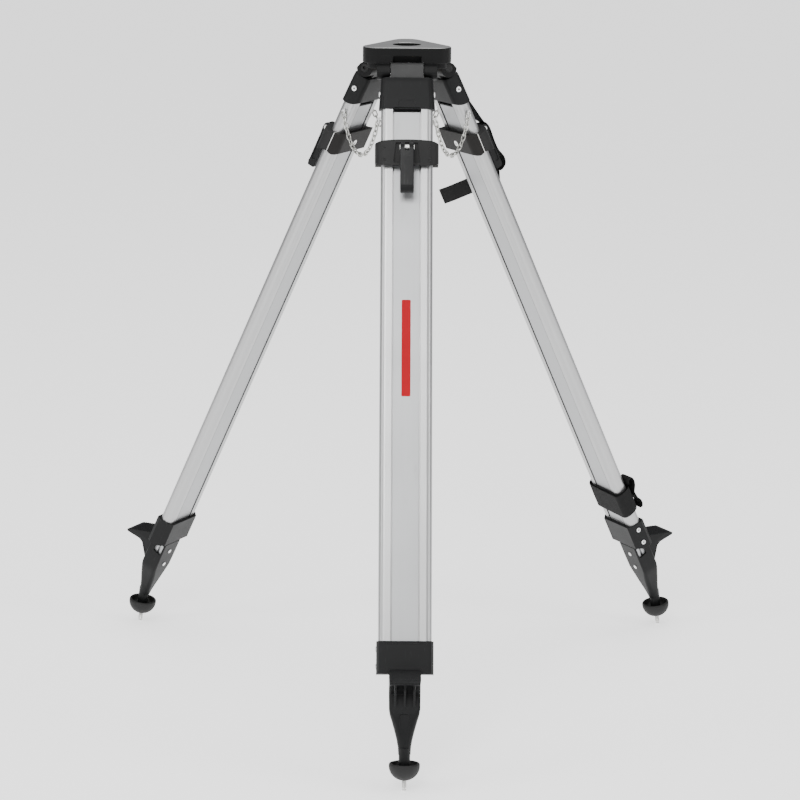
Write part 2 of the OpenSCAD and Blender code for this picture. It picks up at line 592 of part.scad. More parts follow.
on_leg(2) clamp_bolt();  // left_clamp_bolt
on_leg(0) foot();  // front_foot
on_leg(1) foot();  // right_foot
on_leg(2) foot();  // left_foot
on_leg(0) spike();  // front_spike
on_leg(1) spike();  // right_spike
on_leg(2) spike();  // left_spike
on_leg(0) foot_rivets();  // front_foot_rivets
on_leg(1) foot_rivets();  // right_foot_rivets
on_leg(2) foot_rivets();  // left_foot_rivets
on_leg(0) clamp_lever();  // front_clamp_lever
on_leg(1) clamp_lever();  // right_clamp_lever
on_leg(2) clamp_lever();  // left_clamp_lever
on_leg(0) rubber_foot();  // front_rubber_foot
on_leg(1) rubber_foot();  // right_rubber_foot
on_leg(2) rubber_foot();  // left_rubber_foot
spreader_chains();
on_leg(1) shoulder_strap();
on_leg(1) strap_keeper();
on_leg(1) tie_strap();
on_leg(1) band_strap();
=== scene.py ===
"""Finished model of a surveyor's tripod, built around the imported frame.

The scene is in metres. A Shape is drawn in millimetres, in a leg's own coordinates: t across the
leg, n outwards from the rails' middle plane and s down the leg from the hinge.
"""

from __future__ import annotations

import json
import logging
import math
from dataclasses import dataclass, field
from enum import Enum
from typing import Callable, Iterable, Sequence

import bmesh
import bpy
from mathutils import Matrix, Vector

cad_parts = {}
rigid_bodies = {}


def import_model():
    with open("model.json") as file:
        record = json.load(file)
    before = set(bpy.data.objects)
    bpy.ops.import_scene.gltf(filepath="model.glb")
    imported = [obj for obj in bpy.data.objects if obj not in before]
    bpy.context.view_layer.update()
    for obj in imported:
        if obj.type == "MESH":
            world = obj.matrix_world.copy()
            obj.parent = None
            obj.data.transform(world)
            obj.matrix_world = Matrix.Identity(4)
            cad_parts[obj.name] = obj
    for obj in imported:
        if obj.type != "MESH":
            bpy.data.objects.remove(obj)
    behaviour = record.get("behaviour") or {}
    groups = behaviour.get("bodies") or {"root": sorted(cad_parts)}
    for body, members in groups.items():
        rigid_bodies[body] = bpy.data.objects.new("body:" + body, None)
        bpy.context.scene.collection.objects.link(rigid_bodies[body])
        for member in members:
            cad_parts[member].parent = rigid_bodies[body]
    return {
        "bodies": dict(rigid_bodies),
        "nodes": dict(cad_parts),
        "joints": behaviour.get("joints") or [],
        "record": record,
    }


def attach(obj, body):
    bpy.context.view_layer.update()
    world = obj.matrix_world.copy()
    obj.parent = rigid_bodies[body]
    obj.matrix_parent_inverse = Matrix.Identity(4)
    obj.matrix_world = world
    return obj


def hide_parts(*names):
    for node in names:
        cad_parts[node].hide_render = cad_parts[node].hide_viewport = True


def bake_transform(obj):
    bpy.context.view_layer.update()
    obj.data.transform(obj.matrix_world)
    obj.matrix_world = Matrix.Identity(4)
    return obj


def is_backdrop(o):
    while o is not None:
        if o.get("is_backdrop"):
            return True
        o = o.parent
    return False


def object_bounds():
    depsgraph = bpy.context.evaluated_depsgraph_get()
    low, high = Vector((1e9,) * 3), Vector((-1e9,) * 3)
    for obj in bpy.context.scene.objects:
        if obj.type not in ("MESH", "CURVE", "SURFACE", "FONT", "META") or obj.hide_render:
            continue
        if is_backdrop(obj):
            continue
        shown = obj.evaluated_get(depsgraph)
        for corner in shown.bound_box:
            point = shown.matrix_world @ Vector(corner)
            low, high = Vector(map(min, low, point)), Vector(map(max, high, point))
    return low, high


LOG = logging.getLogger("tripod")
MM = 0.001
Pair = tuple[float, float]
Outline = Sequence[Sequence[float]]


class LegName(Enum):
    """The three legs, by where they stand."""

    FRONT = "front"
    RIGHT = "right"
    LEFT = "left"


class Plane(Enum):
    """The plane that an outline is drawn in. It is made thick along the third direction."""

    FACE = "face"
    SIDE = "side"
    DOWN = "down"

    def point(self, a: float, b: float, c: float) -> Vector:
        """The point of outline coordinates a and b at depth c.

        Args:
            a: t on a face or a cross section, n on a side.
            b: s on a face or a side, n on a cross section.
            c: the coordinate that is left over.

        Returns:
            The point, with x across the leg, -y outwards and -z down it.
        """
        if self is Plane.FACE:
            return Vector((a, -c, -b))
        if self is Plane.SIDE:
            return Vector((c, -a, -b))
        return Vector((a, -b, -c))


class Slot(Enum):
    """The record's material slots."""

    ALUMINIUM = "anodised_aluminium"
    CASTING = "black_casting"
    PLASTIC = "black_plastic"
    ZINC = "zinc_steel"
    BRASS = "brass"
    RUBBER = "rubber"
    WEBBING = "webbing"


# ---- outlines ----


def fillet(corners: Outline, steps: int = 6) -> list[Pair]:
    """Rounds the corners of an outline.

    Args:
        corners: points (x, y) that stay sharp, or (x, y, radius).
        steps: straight pieces in each round.

    Returns:
        The rounded outline.
    """
    out: list[Pair] = []
    count = len(corners)
    for k, corner in enumerate(corners):
        here = Vector(corner[:2])
        radius = corner[2] if len(corner) > 2 else 0.0
        before = Vector(corners[k - 1][:2]) - here
        after = Vector(corners[(k + 1) % count][:2]) - here
        if radius <= 0.0:
            out.append((here.x, here.y))
            continue
        opening = before.angle(after)
        reach = radius / math.tan(opening / 2)
        first, last = before.normalized(), after.normalized()
        centre = here + (first + last).normalized() * radius / math.sin(opening / 2)
        start = here + first * reach - centre
        sweep = start.angle_signed(here + last * reach - centre)
        for step in range(steps + 1):
            turn = Matrix.Rotation(-sweep * step / steps, 2)
            spot = centre + turn @ start
            out.append((spot.x, spot.y))
    return out


def box_outline(x0: float, x1: float, y0: float, y1: float, radius: float = 0.0) -> list[Pair]:
    """A rectangle with round corners."""
    return fillet([(x0, y0, radius), (x1, y0, radius), (x1, y1, radius), (x0, y1, radius)])


def smooth_path(points: Sequence[Vector], step: float) -> list[Vector]:
    """A curve through the points (Catmull-Rom), with a point about every step.

    Args:
        points: the points it passes.
        step: spacing along the curve.

    Returns:
        The points of the curve.
    """
    ends = [2 * points[0] - points[1], *points, 2 * points[-1] - points[-2]]
    out: list[Vector] = []
    for a, b, c, d in zip(ends, ends[1:], ends[2:], ends[3:]):
        pieces = max(1, round((c - b).length / step))
        for k in range(pieces):
            x = k / pieces
            out.append(0.5 * (2 * b + (c - a) * x + (2 * a - 5 * b + 4 * c - d) * x * x
                              + (3 * b - a - 3 * c + d) * x * x * x))
    return [*out, points[-1].copy()]


# ---- solids ----


class Shape:
    """A solid under construction, in millimetres."""

    def __init__(self) -> None:
        """Starts with nothing."""
        self.bm = bmesh.new()

    def prism(self, plane: Plane, outline: Outline, low: float, high: float) -> Shape:
        """Adds an outline made thick.

        Args:
            plane: the plane of the outline.
            outline: its points.
            low: depth of one face.
            high: depth of the other.

        Returns:
            This shape.
        """
        start = bmesh.new()
        face = start.faces.new([start.verts.new(plane.point(a, b, low)) for a, b in outline])
        grown = bmesh.ops.extrude_face_region(start, geom=[face])["geom"]
        verts = [g for g in grown if isinstance(g, bmesh.types.BMVert)]
        away = plane.point(0, 0, high) - plane.point(0, 0, low)
        bmesh.ops.translate(start, verts=verts, vec=away)
        return self.take(start)

    def turned(self, profile: Sequence[Pair], at: Matrix, steps: int = 40) -> Shape:
        """Adds a turned solid.

        Args:
            profile: points (radius, height) round its half section.
            at: placing of its axis, local z.
            steps: faces round it.

        Returns:
            This shape.
        """
        start = bmesh.new()
        verts = [start.verts.new((r, 0, h)) for r, h in profile]
        pairs = list(zip(verts, verts[1:]))
        if profile[0][0] > 0 and profile[-1][0] > 0:
            pairs.append((verts[-1], verts[0]))
        edges = [start.edges.new(pair) for pair in pairs]
        bmesh.ops.spin(start, geom=[*verts, *edges], cent=(0, 0, 0), axis=(0, 0, 1), dvec=(0, 0, 0),
                       angle=math.tau, steps=steps, use_merge=True)
        bmesh.ops.remove_doubles(start, verts=start.verts[:], dist=1e-4)
        bmesh.ops.transform(start, matrix=at, verts=start.verts[:])
        return self.take(start)

    def loft(self, rings: Sequence[Sequence[Vector]]) -> Shape:
        """Adds a skin over rings that have the same number of points, closed at both ends."""
        start = bmesh.new()
        loops = []
        for ring in rings:
            verts = [start.verts.new(p) for p in ring]
            loops.append([start.edges.new((a, b)) for a, b in zip(verts, verts[1:] + verts[:1])])
            if ring is rings[0] or ring is rings[-1]:
                start.faces.new(verts)
        for low, high in zip(loops, loops[1:]):
            bmesh.ops.bridge_loops(start, edges=[*low, *high])
        return self.take(start)

    def take(self, other: bmesh.types.BMesh) -> Shape:
        """Adds a bmesh, with its faces turned outwards, and frees it."""
        bmesh.ops.recalc_face_normals(other, faces=other.faces[:])
        mesh = bpy.data.meshes.new("part")
        other.to_mesh(mesh)
        other.free()
        self.bm.from_mesh(mesh)
        bpy.data.meshes.remove(mesh)
        return self

    def add(self, other: Shape) -> Shape:
        """Adds another shape, which is used up."""
        mesh = bpy.data.meshes.new("part")
        other.bm.to_mesh(mesh)
        other.bm.free()
        self.bm.from_mesh(mesh)
        bpy.data.meshes.remove(mesh)
        return self

    def move(self, matrix: Matrix) -> Shape:
        """Places the shape by a matrix."""
        bmesh.ops.transform(self.bm, matrix=matrix, verts=self.bm.verts[:])
        return self

    def round(self, width: float, segments: int = 3, angle: float = 30.0,
              where: Callable[[Vector], bool] | None = None) -> Shape:
        """Rounds the edges.

        Args:
            width: distance of the round from the edge.
            segments: pieces in the round.
            angle: edges that turn less than this many degrees stay.
            where: says by its middle whether an edge is rounded.

        Returns:
            This shape.
        """
        edges = [
            e for e in self.bm.edges
            if len(e.link_faces) == 2 and e.calc_face_angle(0.0) > math.radians(angle)
            and (where is None or where((e.verts[0].co + e.verts[1].co) / 2))
        ]
        bmesh.ops.bevel(self.bm, geom=edges, offset=width, offset_type="OFFSET", segments=segments,
                        profile=0.5, affect="EDGES", clamp_overlap=True, material=-1)
        return self

    def _combine(self, other: Shape, operation: str) -> Shape:
        """Runs an exact Boolean with a closed shape, which is used up."""
        objects = []
        for bm in (self.bm, other.bm):
            mesh = bpy.data.meshes.new("part")
            bm.to_mesh(mesh)
            bm.free()
            thing = bpy.data.objects.new("part", mesh)
            bpy.context.scene.collection.objects.link(thing)
            objects.append(thing)
        modifier = objects[0].modifiers.new("cut", "BOOLEAN")
        modifier.operation = operation
        modifier.solver = "EXACT"
        modifier.object = objects[1]
        bpy.context.view_layer.update()
        result = objects[0].evaluated_get(bpy.context.evaluated_depsgraph_get()).to_mesh()
        self.bm = bmesh.new()
        self.bm.from_mesh(result)
        for thing in objects:
            mesh = thing.data
            bpy.data.objects.remove(thing)
            bpy.data.meshes.remove(mesh)
        return self

    def fuse(self, other: Shape) -> Shape:
        """Joins another shape to this one as one skin."""
        return self._combine(other, "UNION")

    def cut(self, other: Shape) -> Shape:
        """Takes another shape away from this one."""
        return self._combine(other, "DIFFERENCE")

    def meet(self, other: Shape) -> Shape:
        """Keeps what this shape shares with another."""
        return self._combine(other, "INTERSECT")

    def mirrored(self) -> Shape:
        """Adds the same again on the other side of the leg."""
        copy = self.bm.copy()
        bmesh.ops.scale(copy, vec=(-1, 1, 1), verts=copy.verts[:])
        bmesh.ops.reverse_faces(copy, faces=copy.faces[:])
        mesh = bpy.data.meshes.new("part")
        copy.to_mesh(mesh)
        copy.free()
        self.bm.from_mesh(mesh)
        bpy.data.meshes.remove(mesh)
        return self

    def piece(self, name: str, at: Matrix, smooth: float = 32.0) -> bpy.types.Object:
        """Turns the shape into an object whose place is in its mesh.

        Args:
            name: the piece's name.
            at: where its coordinates, in metres, lie in the frame.
            smooth: edges that turn more than this many degrees stay sharp.

        Returns:
            The object.
        """
        self.move(at @ Matrix.Scale(MM, 4))
        mesh = bpy.data.meshes.new(name)
        self.bm.to_mesh(mesh)
        self.bm.free()
        mesh.polygons.foreach_set("use_smooth", [True] * len(mesh.polygons))
        mesh.set_sharp_from_angle(angle=math.radians(smooth))
        thing = bpy.data.objects.new(name, mesh)
        bpy.context.scene.collection.objects.link(thing)
        even = thing.modifiers.new("even shading", "WEIGHTED_NORMAL")
        even.keep_sharp = True
        even.weight = 80
        return thing


def axis_at(point: Vector, direction: Vector) -> Matrix:
    """A placing whose local z points along direction."""
    return Matrix.Translation(point) @ direction.to_track_quat("Z", "Y").to_matrix().to_4x4()


# ---- shader building ----


class Value:
    """A shader number. Arithmetic on it adds Math nodes."""

    def __init__(self, tree: ShaderTree, socket: bpy.types.NodeSocket) -> None:
        """Wraps a socket of a tree."""
        self.tree = tree
        self.socket = socket

    def math(self, operation: str, *others: Value | float) -> Value:
        """Adds one Math node."""
        node = self.tree.node("ShaderNodeMath", {"operation": operation}, [self, *others])
        return Value(self.tree, node.outputs[0])

    def __add__(self, other: Value | float) -> Value:
        """Sum."""
        return self.math("ADD", other)

    def __sub__(self, other: Value | float) -> Value:
        """Difference."""
        return self.math("SUBTRACT", other)

    def __mul__(self, other: Value | float) -> Value:
        """Product."""
        return self.math("MULTIPLY", other)

    def __pow__(self, other: float) -> Value:
        """Power."""
        return self.math("POWER", other)

    __radd__ = __add__
    __rmul__ = __mul__

    def __rsub__(self, other: float) -> Value:
        """Number minus this."""
        node = self.tree.node("ShaderNodeMath", {"operation": "SUBTRACT"}, [other, self])
        return Value(self.tree, node.outputs[0])

    def between(self, low: float, high: float, to_low: float = 0.0, to_high: float = 1.0) -> Value:
        """Maps low..high smoothly to another range, held at its ends."""
        node = self.tree.node("ShaderNodeMapRange", {"interpolation_type": "SMOOTHSTEP"},
                              {"Value": self, "From Min": low, "From Max": high,
                               "To Min": to_low, "To Max": to_high})
        return Value(self.tree, node.outputs[0])


class ShaderTree:
    """The node tree of one material."""

    def __init__(self, name: str) -> None:
        """Starts a material with one surface shader."""
        self.material = bpy.data.materials.new(name)
        self.material.use_nodes = True
        self.nodes = self.material.node_tree.nodes
        self.links = self.material.node_tree.links
        self.surface = self.nodes["Principled BSDF"]

    def node(self, kind: str, settings: dict[str, object] | None = None,
             values: dict[str, object] | list[object] | None = None) -> bpy.types.Node:
        """Adds a node.

        Args:
            kind: the node's type.
            settings: its properties, and "stops" of a ramp as (position, grey or colour).
            values: numbers, colours or links of its sockets, by name or in order.

        Returns:
            The node.
        """
        made = self.nodes.new(kind)
        for key, setting in (settings or {}).items():
            if key == "stops":
                ramp = made.color_ramp
                for k, (place, colour) in enumerate(setting):
                    stop = ramp.elements[k] if k < 2 else ramp.elements.new(place)
                    stop.position = place
                    stop.color = colour
            else:
                setattr(made, key, setting)
        pairs = values.items() if isinstance(values, dict) else enumerate(values or [])
        for key, value in pairs:
            self.feed(made.inputs[key], value)
        return made

    def feed(self, socket: bpy.types.NodeSocket, value: object) -> None:
        """Links a value to a socket, or sets it."""
        if isinstance(value, Value):
            self.links.new(value.socket, socket)
        elif isinstance(value, bpy.types.NodeSocket):
            self.links.new(value, socket)
        else:
            socket.default_value = value

    def place(self, leg: Matrix | None = None) -> bpy.types.NodeSocket:
        """Object coordinates, or a leg's own coordinates if the way into them is given."""
        source = self.node("ShaderNodeTexCoord").outputs["Object"]
        if leg is None:
            return source
        mapped = self.node("ShaderNodeMapping", {"vector_type": "POINT"},
                           {"Vector": source, "Location": leg.translation, "Rotation": leg.to_euler()})
        return mapped.outputs[0]

    def noise(self, vector: bpy.types.NodeSocket, scale: float, detail: float = 3.0,
              rough: float = 0.5) -> Value:
        """Cloudy noise from 0 to 1."""
        made = self.node("ShaderNodeTexNoise", {"noise_dimensions": "3D"},
                         {"Vector": vector, "Scale": scale, "Detail": detail, "Roughness": rough})
        return Value(self, made.outputs[0])

    def stretched(self, vector: bpy.types.NodeSocket, factors: tuple[float, float, float]) -> bpy.types.NodeSocket:
        """The vector with each part multiplied."""
        return self.node("ShaderNodeVectorMath", {"operation": "MULTIPLY"}, [vector, factors]).outputs[0]

    def parts(self, vector: bpy.types.NodeSocket) -> list[Value]:
        """The three parts of a vector."""
        made = self.node("ShaderNodeSeparateXYZ", values=[vector])
        return [Value(self, s) for s in made.outputs]

    def mix(self, factor: Value | float, first: object, second: object) -> bpy.types.NodeSocket:
        """Mixes two colours."""
        made = self.node("ShaderNodeMix", {"data_type": "RGBA"})
        self.feed(made.inputs[0], factor)
        self.feed(made.inputs[6], first)
        self.feed(made.inputs[7], second)
        return made.outputs[2]

    def soft_edge(self, radius: float) -> tuple[bpy.types.NodeSocket, Value]:
        """Edges rounded in the shading.

        Args:
            radius: radius of the round, in metres.

        Returns:
            The normal, and a mask that is 1 on the edges.
        """
        rounded = self.node("ShaderNodeBevel", {"samples": 4}, {"Radius": radius}).outputs[0]
        plain = self.node("ShaderNodeNewGeometry").outputs["Normal"]
        dot = self.node("ShaderNodeVectorMath", {"operation": "DOT_PRODUCT"}, [rounded, plain])
        edge = (1.0 - Value(self, dot.outputs["Value"])).between(0.02, 0.25)
        return rounded, edge

    def bump(self, height: Value, strength: float, distance: float,
             normal: bpy.types.NodeSocket | None = None) -> None:
        """Feeds a bump to the surface's normal."""
        made = self.node("ShaderNodeBump", values={"Height": height, "Strength": strength,
                                                   "Distance": distance})
        if normal is not None:
            self.feed(made.inputs["Normal"], normal)
        self.feed(self.surface.inputs["Normal"], made.outputs[0])

    def set(self, **values: object) -> None:
        """Sets sockets of the surface shader, with _ for a space in the name."""
        for key, value in values.items():
            self.feed(self.surface.inputs[key.replace("_", " ")], value)


Colour = tuple[float, float, float, float]


def grey(level: float, warm: float = 0.0) -> Colour:
    """A grey, a little warm or cool."""
    return (level * (1 + warm), level, level * (1 - warm), 1.0)


@dataclass(frozen=True)
class Finish:
    """A finish: what it is called and how its material is built."""

    name: str
    slot: Slot

    def material(self, leg: Matrix | None = None) -> bpy.types.Material:
        """Builds the material.

        Args:
            leg: the way from the frame into a leg's coordinates.

        Returns:
            The material.
        """
        raise NotImplementedError


@dataclass(frozen=True)
class Moulded(Finish):
    """Moulded black plastic with a fine grain, rubbed lighter along its edges."""

    level: float = 0.005
    warm: float = -0.04
    rough: float = 0.46
    grain: float = 1900.0
    depth: float = 0.00009
    worn: float = 0.04
    shine: float = 0.16

    def material(self, leg: Matrix | None = None) -> bpy.types.Material:
        """Builds the material."""
        tree = ShaderTree(self.name)
        place = tree.place(leg)
        normal, edge = tree.soft_edge(0.0006)
        cloud = tree.noise(place, 38.0, 4.0)
        speck = tree.noise(place, self.grain, 2.0)
        scuff = tree.noise(tree.stretched(place, (60.0, 60.0, 9.0)), 6.0, 5.0).between(0.6, 0.78)
        body = tree.mix(cloud, grey(self.level * 0.78, self.warm), grey(self.level * 1.3, self.warm))
        rubbed = tree.mix(edge * 0.65, body, grey(self.worn, self.warm))
        tree.set(Base_Color=tree.mix(scuff * 0.2, rubbed, grey(self.worn * 0.9, self.warm)),
                 Roughness=(speck * 0.1 + cloud * 0.12 + (self.rough - 0.11)) - scuff * 0.04,
                 Specular_IOR_Level=self.shine)
        tree.bump(speck + cloud * 0.4, 0.5, self.depth, normal)
        return tree.material


@dataclass(frozen=True)
class CoatedCasting(Finish):
    """Black coated casting with an orange-peel skin, its top face machined bright."""

    level: float = 0.004
    top: float = 0.0
    shine: float = 0.13

    def material(self, leg: Matrix | None = None) -> bpy.types.Material:
        """Builds the material."""
        tree = ShaderTree(self.name)
        place = tree.place(leg)
        x, y, z = tree.parts(place)
        normal, edge = tree.soft_edge(0.0008)
        peel = tree.noise(place, 520.0, 3.0)
        cloud = tree.noise(place, 24.0, 4.0)
        radius = (x * x + y * y).math("SQRT")
        rings = (radius * 5200.0 + cloud * 1.5).math("SINE")
        bare = z.between(self.top - 0.0011, self.top - 0.0003)
        coat = tree.mix(cloud, grey(self.level * 0.85, -0.02), grey(self.level * 1.25, -0.02))
        coat = tree.mix(edge * 0.5, coat, grey(0.05))
        streak = tree.noise(tree.stretched(place, (14.0, 160.0, 1.0)), 1.0, 4.0)
        metal = tree.mix(streak, grey(0.36), grey(0.5))
        tree.set(Base_Color=tree.mix(bare, coat, metal),
                 Metallic=bare * 0.85, Specular_IOR_Level=self.shine,
                 Roughness=(bare * (cloud * 0.1 + 0.3)) + (1.0 - bare) * (peel * 0.16 + 0.36))
        tree.bump(bare * rings * 0.35 + (1.0 - bare) * peel, 0.5, 0.00012, normal)
        return tree.material


@dataclass(frozen=True)
class Anodised(Finish):
    """Satin anodised extrusion, with fine die lines along the leg, faint handling marks, and a thin painted shade line
    on the inner face at the gap between rail and tube.
    """

    level: float = 0.44
    rough: float = 0.33
    warm: float = -0.003
    # Distance across the leg of the thin painted shade line on the inner face, at the gap between rail and tube.
    painted_gap_shade: float = 0.0

    def material(self, leg: Matrix | None = None) -> bpy.types.Material:
        """Builds the material."""
        tree = ShaderTree(self.name)
        place = tree.place(leg)
        normal, edge = tree.soft_edge(0.0004)
        lines = tree.noise(tree.stretched(place, (2600.0, 2600.0, 9.0)), 1.0, 3.0)
        broad = tree.noise(tree.stretched(place, (260.0, 260.0, 1.6)), 1.0, 3.0)
        cloud = tree.noise(place, 9.0, 5.0)
        handled = tree.noise(tree.stretched(place, (30.0, 30.0, 12.0)), 3.0, 6.0).between(0.62, 0.8)
        mark = tree.noise(tree.stretched(place, (900.0, 900.0, 40.0)), 1.0, 1.0).between(0.74, 0.8)
        skin = tree.mix(broad * 0.6 + lines * 0.4, grey(self.level * 0.93, self.warm),
                        grey(self.level * 1.06, self.warm))
        skin = tree.mix(handled * 0.22, skin, grey(self.level * 0.8, 0.01))
        across, depth, _ = tree.parts(place)
        # Painted shade: a thin dark, slightly rougher line on the inner face where the gap between rail and tube lies.
        painted_gap_shade = across.math("ABSOLUTE").between(self.painted_gap_shade + 0.0001, self.painted_gap_shade - 0.0001) * depth.between(0.0106, 0.011)
        skin = tree.mix(edge * 0.3 + mark * 0.12, skin, grey(0.9))
        tree.set(Base_Color=tree.mix(painted_gap_shade * 0.9, skin, grey(0.02)), Metallic=0.9,
                 Roughness=lines * 0.1 + cloud * 0.1 + handled * 0.06 + painted_gap_shade * 0.3 + (self.rough - 0.1))
        tree.bump(lines * 0.7 + broad * 0.5, 0.22, 0.00006, normal)
        return tree.material


@dataclass(frozen=True)
class Plated(Finish):
    """Bright plated or turned metal with fine scratches and a little dulling."""

    colour: Colour = (0.78, 0.78, 0.76, 1.0)
    dull: Colour = (0.5, 0.5, 0.49, 1.0)
    rough: float = 0.24

    def material(self, leg: Matrix | None = None) -> bpy.types.Material:
        """Builds the material."""
        tree = ShaderTree(self.name)
        place = tree.place(leg)
        normal, _ = tree.soft_edge(0.0003)
        cloud = tree.noise(place, 160.0, 5.0, 0.6)
        fine = tree.noise(tree.stretched(place, (1500.0, 700.0, 3000.0)), 1.0, 2.0)
        tree.set(Base_Color=tree.mix(cloud.between(0.42, 0.75), self.colour, self.dull),
                 Metallic=1.0, Roughness=cloud * 0.2 + fine * 0.08 + (self.rough - 0.1))
        tree.bump(fine, 0.25, 0.00005, normal)
        return tree.material


@dataclass(frozen=True)
class Cup(Finish):
    """Matt black rubber, dusty in its pores."""

    level: float = 0.009

    def material(self, leg: Matrix | None = None) -> bpy.types.Material:
        """Builds the material."""
        tree = ShaderTree(self.name)
        place = tree.place(leg)
        normal, edge = tree.soft_edge(0.0006)
        cloud = tree.noise(place, 60.0, 5.0)
        pores = tree.noise(place, 1300.0, 3.0)
        skin = tree.mix(cloud, grey(self.level * 0.7), grey(self.level * 1.5))
        tree.set(Base_Color=tree.mix(edge * 0.5, skin, grey(0.03)), Specular_IOR_Level=0.3,
                 Roughness=pores * 0.14 + cloud * 0.1 + 0.5)
        tree.bump(pores + cloud * 0.5, 0.6, 0.00016, normal)
        return tree.material


@dataclass(frozen=True)
class Webbing(Finish):
    """Woven webbing: ribs across the strap, split by the warp threads, on the strap's own UV map."""

    level: float = 0.005
    pitch: float = 0.0016
    thread: float = 0.0011

    def material(self, leg: Matrix | None = None) -> bpy.types.Material:
        """Builds the material."""
        tree = ShaderTree(self.name)
        across, along, _ = tree.parts(tree.node("ShaderNodeUVMap").outputs[0])
        column = across * (math.pi / self.thread)
        row = along * (math.tau / self.pitch)
        side = (column.math("SINE")).math("SIGN")
        rib = (row + side * (math.pi / 2)).math("SINE") * 0.5 + 0.5
        warp = column.math("SINE").math("ABSOLUTE")
        height = rib * 0.55 + warp * 0.45
        fuzz = tree.noise(tree.place(), 2400.0, 3.0)
        cloud = tree.noise(tree.place(), 45.0, 4.0)
        # Painted shade: the weave's hollows are coloured darker than the rib tops, following the same height as the
        # bump.
        skin = tree.mix(height, grey(self.level * 0.45), grey(self.level * 1.7, -0.02))
        tree.set(Base_Color=tree.mix(cloud * 0.3, skin, grey(self.level * 2.4)),
                 Roughness=fuzz * 0.12 + 0.72, Specular_IOR_Level=0.2)
        tree.bump(height + fuzz * 0.25, 0.7, 0.0003)
        return tree.material


@dataclass(frozen=True)
class Print(Finish):
    """Printed foil stripe, slightly orange-peeled."""

    colour: Colour = (0.42, 0.001, 0.008, 1.0)

    def material(self, leg: Matrix | None = None) -> bpy.types.Material:
        """Builds the material."""
        tree = ShaderTree(self.name)
        place = tree.place(leg)
        cloud = tree.noise(place, 90.0, 4.0)
        fine = tree.noise(place, 1600.0, 2.0)
        deep = (self.colour[0] * 0.8, self.colour[1], self.colour[2], 1.0)
        tree.set(Base_Color=tree.mix(cloud, self.colour, deep), Roughness=fine * 0.1 + 0.4,
                 Specular_IOR_Level=0.12)
        tree.bump(fine, 0.2, 0.00004)
        return tree.material


@dataclass(frozen=True)
class Finishes:
    """Every finish of the tripod."""

    shroud: Finish = Moulded("shroud plastic", Slot.PLASTIC, level=0.006, rough=0.43)
    collar: Finish = Moulded("collar plastic", Slot.PLASTIC, level=0.012, warm=0.0, rough=0.5, worn=0.07, shine=0.2)
    shell: Finish = Moulded("shell plastic", Slot.PLASTIC, level=0.009, warm=0.08, rough=0.55)
    lever: Finish = Moulded("lever plastic", Slot.PLASTIC, level=0.005, rough=0.34, worn=0.09, shine=0.2)
    foot: Finish = Moulded("foot plastic", Slot.PLASTIC, level=0.006, rough=0.42)
    knob: Finish = Moulded("knob plastic", Slot.PLASTIC, level=0.008, rough=0.36)
    plug: Finish = Moulded("plug plastic", Slot.PLASTIC, level=0.005, rough=0.6)
    head: Finish = CoatedCasting("head casting", Slot.CASTING)
    tongue: Finish = Moulded("tongue casting", Slot.PLASTIC, level=0.04, warm=0.0, rough=0.48, worn=0.1)
    bolt: Finish = Plated("blackened bolt", Slot.ZINC, colour=(0.03, 0.03, 0.03, 1.0), dull=(0.015, 0.015, 0.015, 1.0))
    arm: Finish = CoatedCasting("arm coating", Slot.CASTING, top=1.0)
    rail: Finish = Anodised("rail anodising", Slot.ALUMINIUM, painted_gap_shade=0.0229)
    tube: Finish = Anodised("tube anodising", Slot.ALUMINIUM, level=0.4, rough=0.4, warm=-0.014)
    chain: Finish = Plated("chain plate", Slot.ZINC, colour=(0.55, 0.55, 0.52, 1.0), dull=(0.22, 0.22, 0.21, 1.0))
    zinc: Finish = Plated("zinc plate", Slot.ZINC)
    rivet: Finish = Plated("rivet", Slot.ZINC, colour=(0.9, 0.9, 0.9, 1.0), dull=(0.72, 0.72, 0.72, 1.0), rough=0.42)
    steel: Finish = Plated("point steel", Slot.ZINC, rough=0.3)
    brass: Finish = Plated("turned brass", Slot.BRASS, colour=(0.72, 0.54, 0.24, 1.0),
                           dull=(0.46, 0.33, 0.14, 1.0), rough=0.28)
    rubber: Finish = Cup("cup rubber", Slot.RUBBER)
    web: Finish = Webbing("strap webbing", Slot.WEBBING)
    print: Finish = Print("red print", Slot.ALUMINIUM)


# ---- the workshop: places pieces and dresses them ----


@dataclass
class Workshop:
    """Keeps the frame and the materials, and finishes pieces."""

    frame: dict[str, object]
    finishes: Finishes = field(default_factory=Finishes)
    made: dict[tuple[str, str], bpy.types.Material] = field(default_factory=dict)

    def joint(self, name: str) -> dict[str, object]:
        """The frame's joint of that name."""
        return next(j for j in self.frame["joints"] if j["name"] == name)

    def paint(self, thing: bpy.types.Object, finish: Finish, leg: LegFrame | None = None) -> None:
        """Gives an object one material, turned to its leg."""
        key = (finish.name, leg.name.value if leg else "")
        if key not in self.made:
            self.made[key] = finish.material(leg.matrix.inverted() if leg else None)
            self.made[key].name = " ".join(k for k in key if k)
        thing.data.materials.clear()
        thing.data.materials.append(self.made[key])

    def dress_node(self, node: str, finish: Finish, leg: LegFrame | None = None) -> None:
        """Gives a CAD node that stays its material."""
        self.paint(self.frame["nodes"][node], finish, leg)
        LOG.info("node %s: %s", node, finish.name)

    def finish(self, thing: bpy.types.Object, finish: Finish, body: str, nodes: Iterable[str] = (),
               leg: LegFrame | None = None) -> bpy.types.Object:
        """Paints a new piece, puts it on its body and lets it stand for CAD nodes."""
        self.paint(thing, finish, leg)
        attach(thing, body)
        if nodes:
            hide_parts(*nodes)
        LOG.info("piece %s on %s", thing.name, body)
        return thing


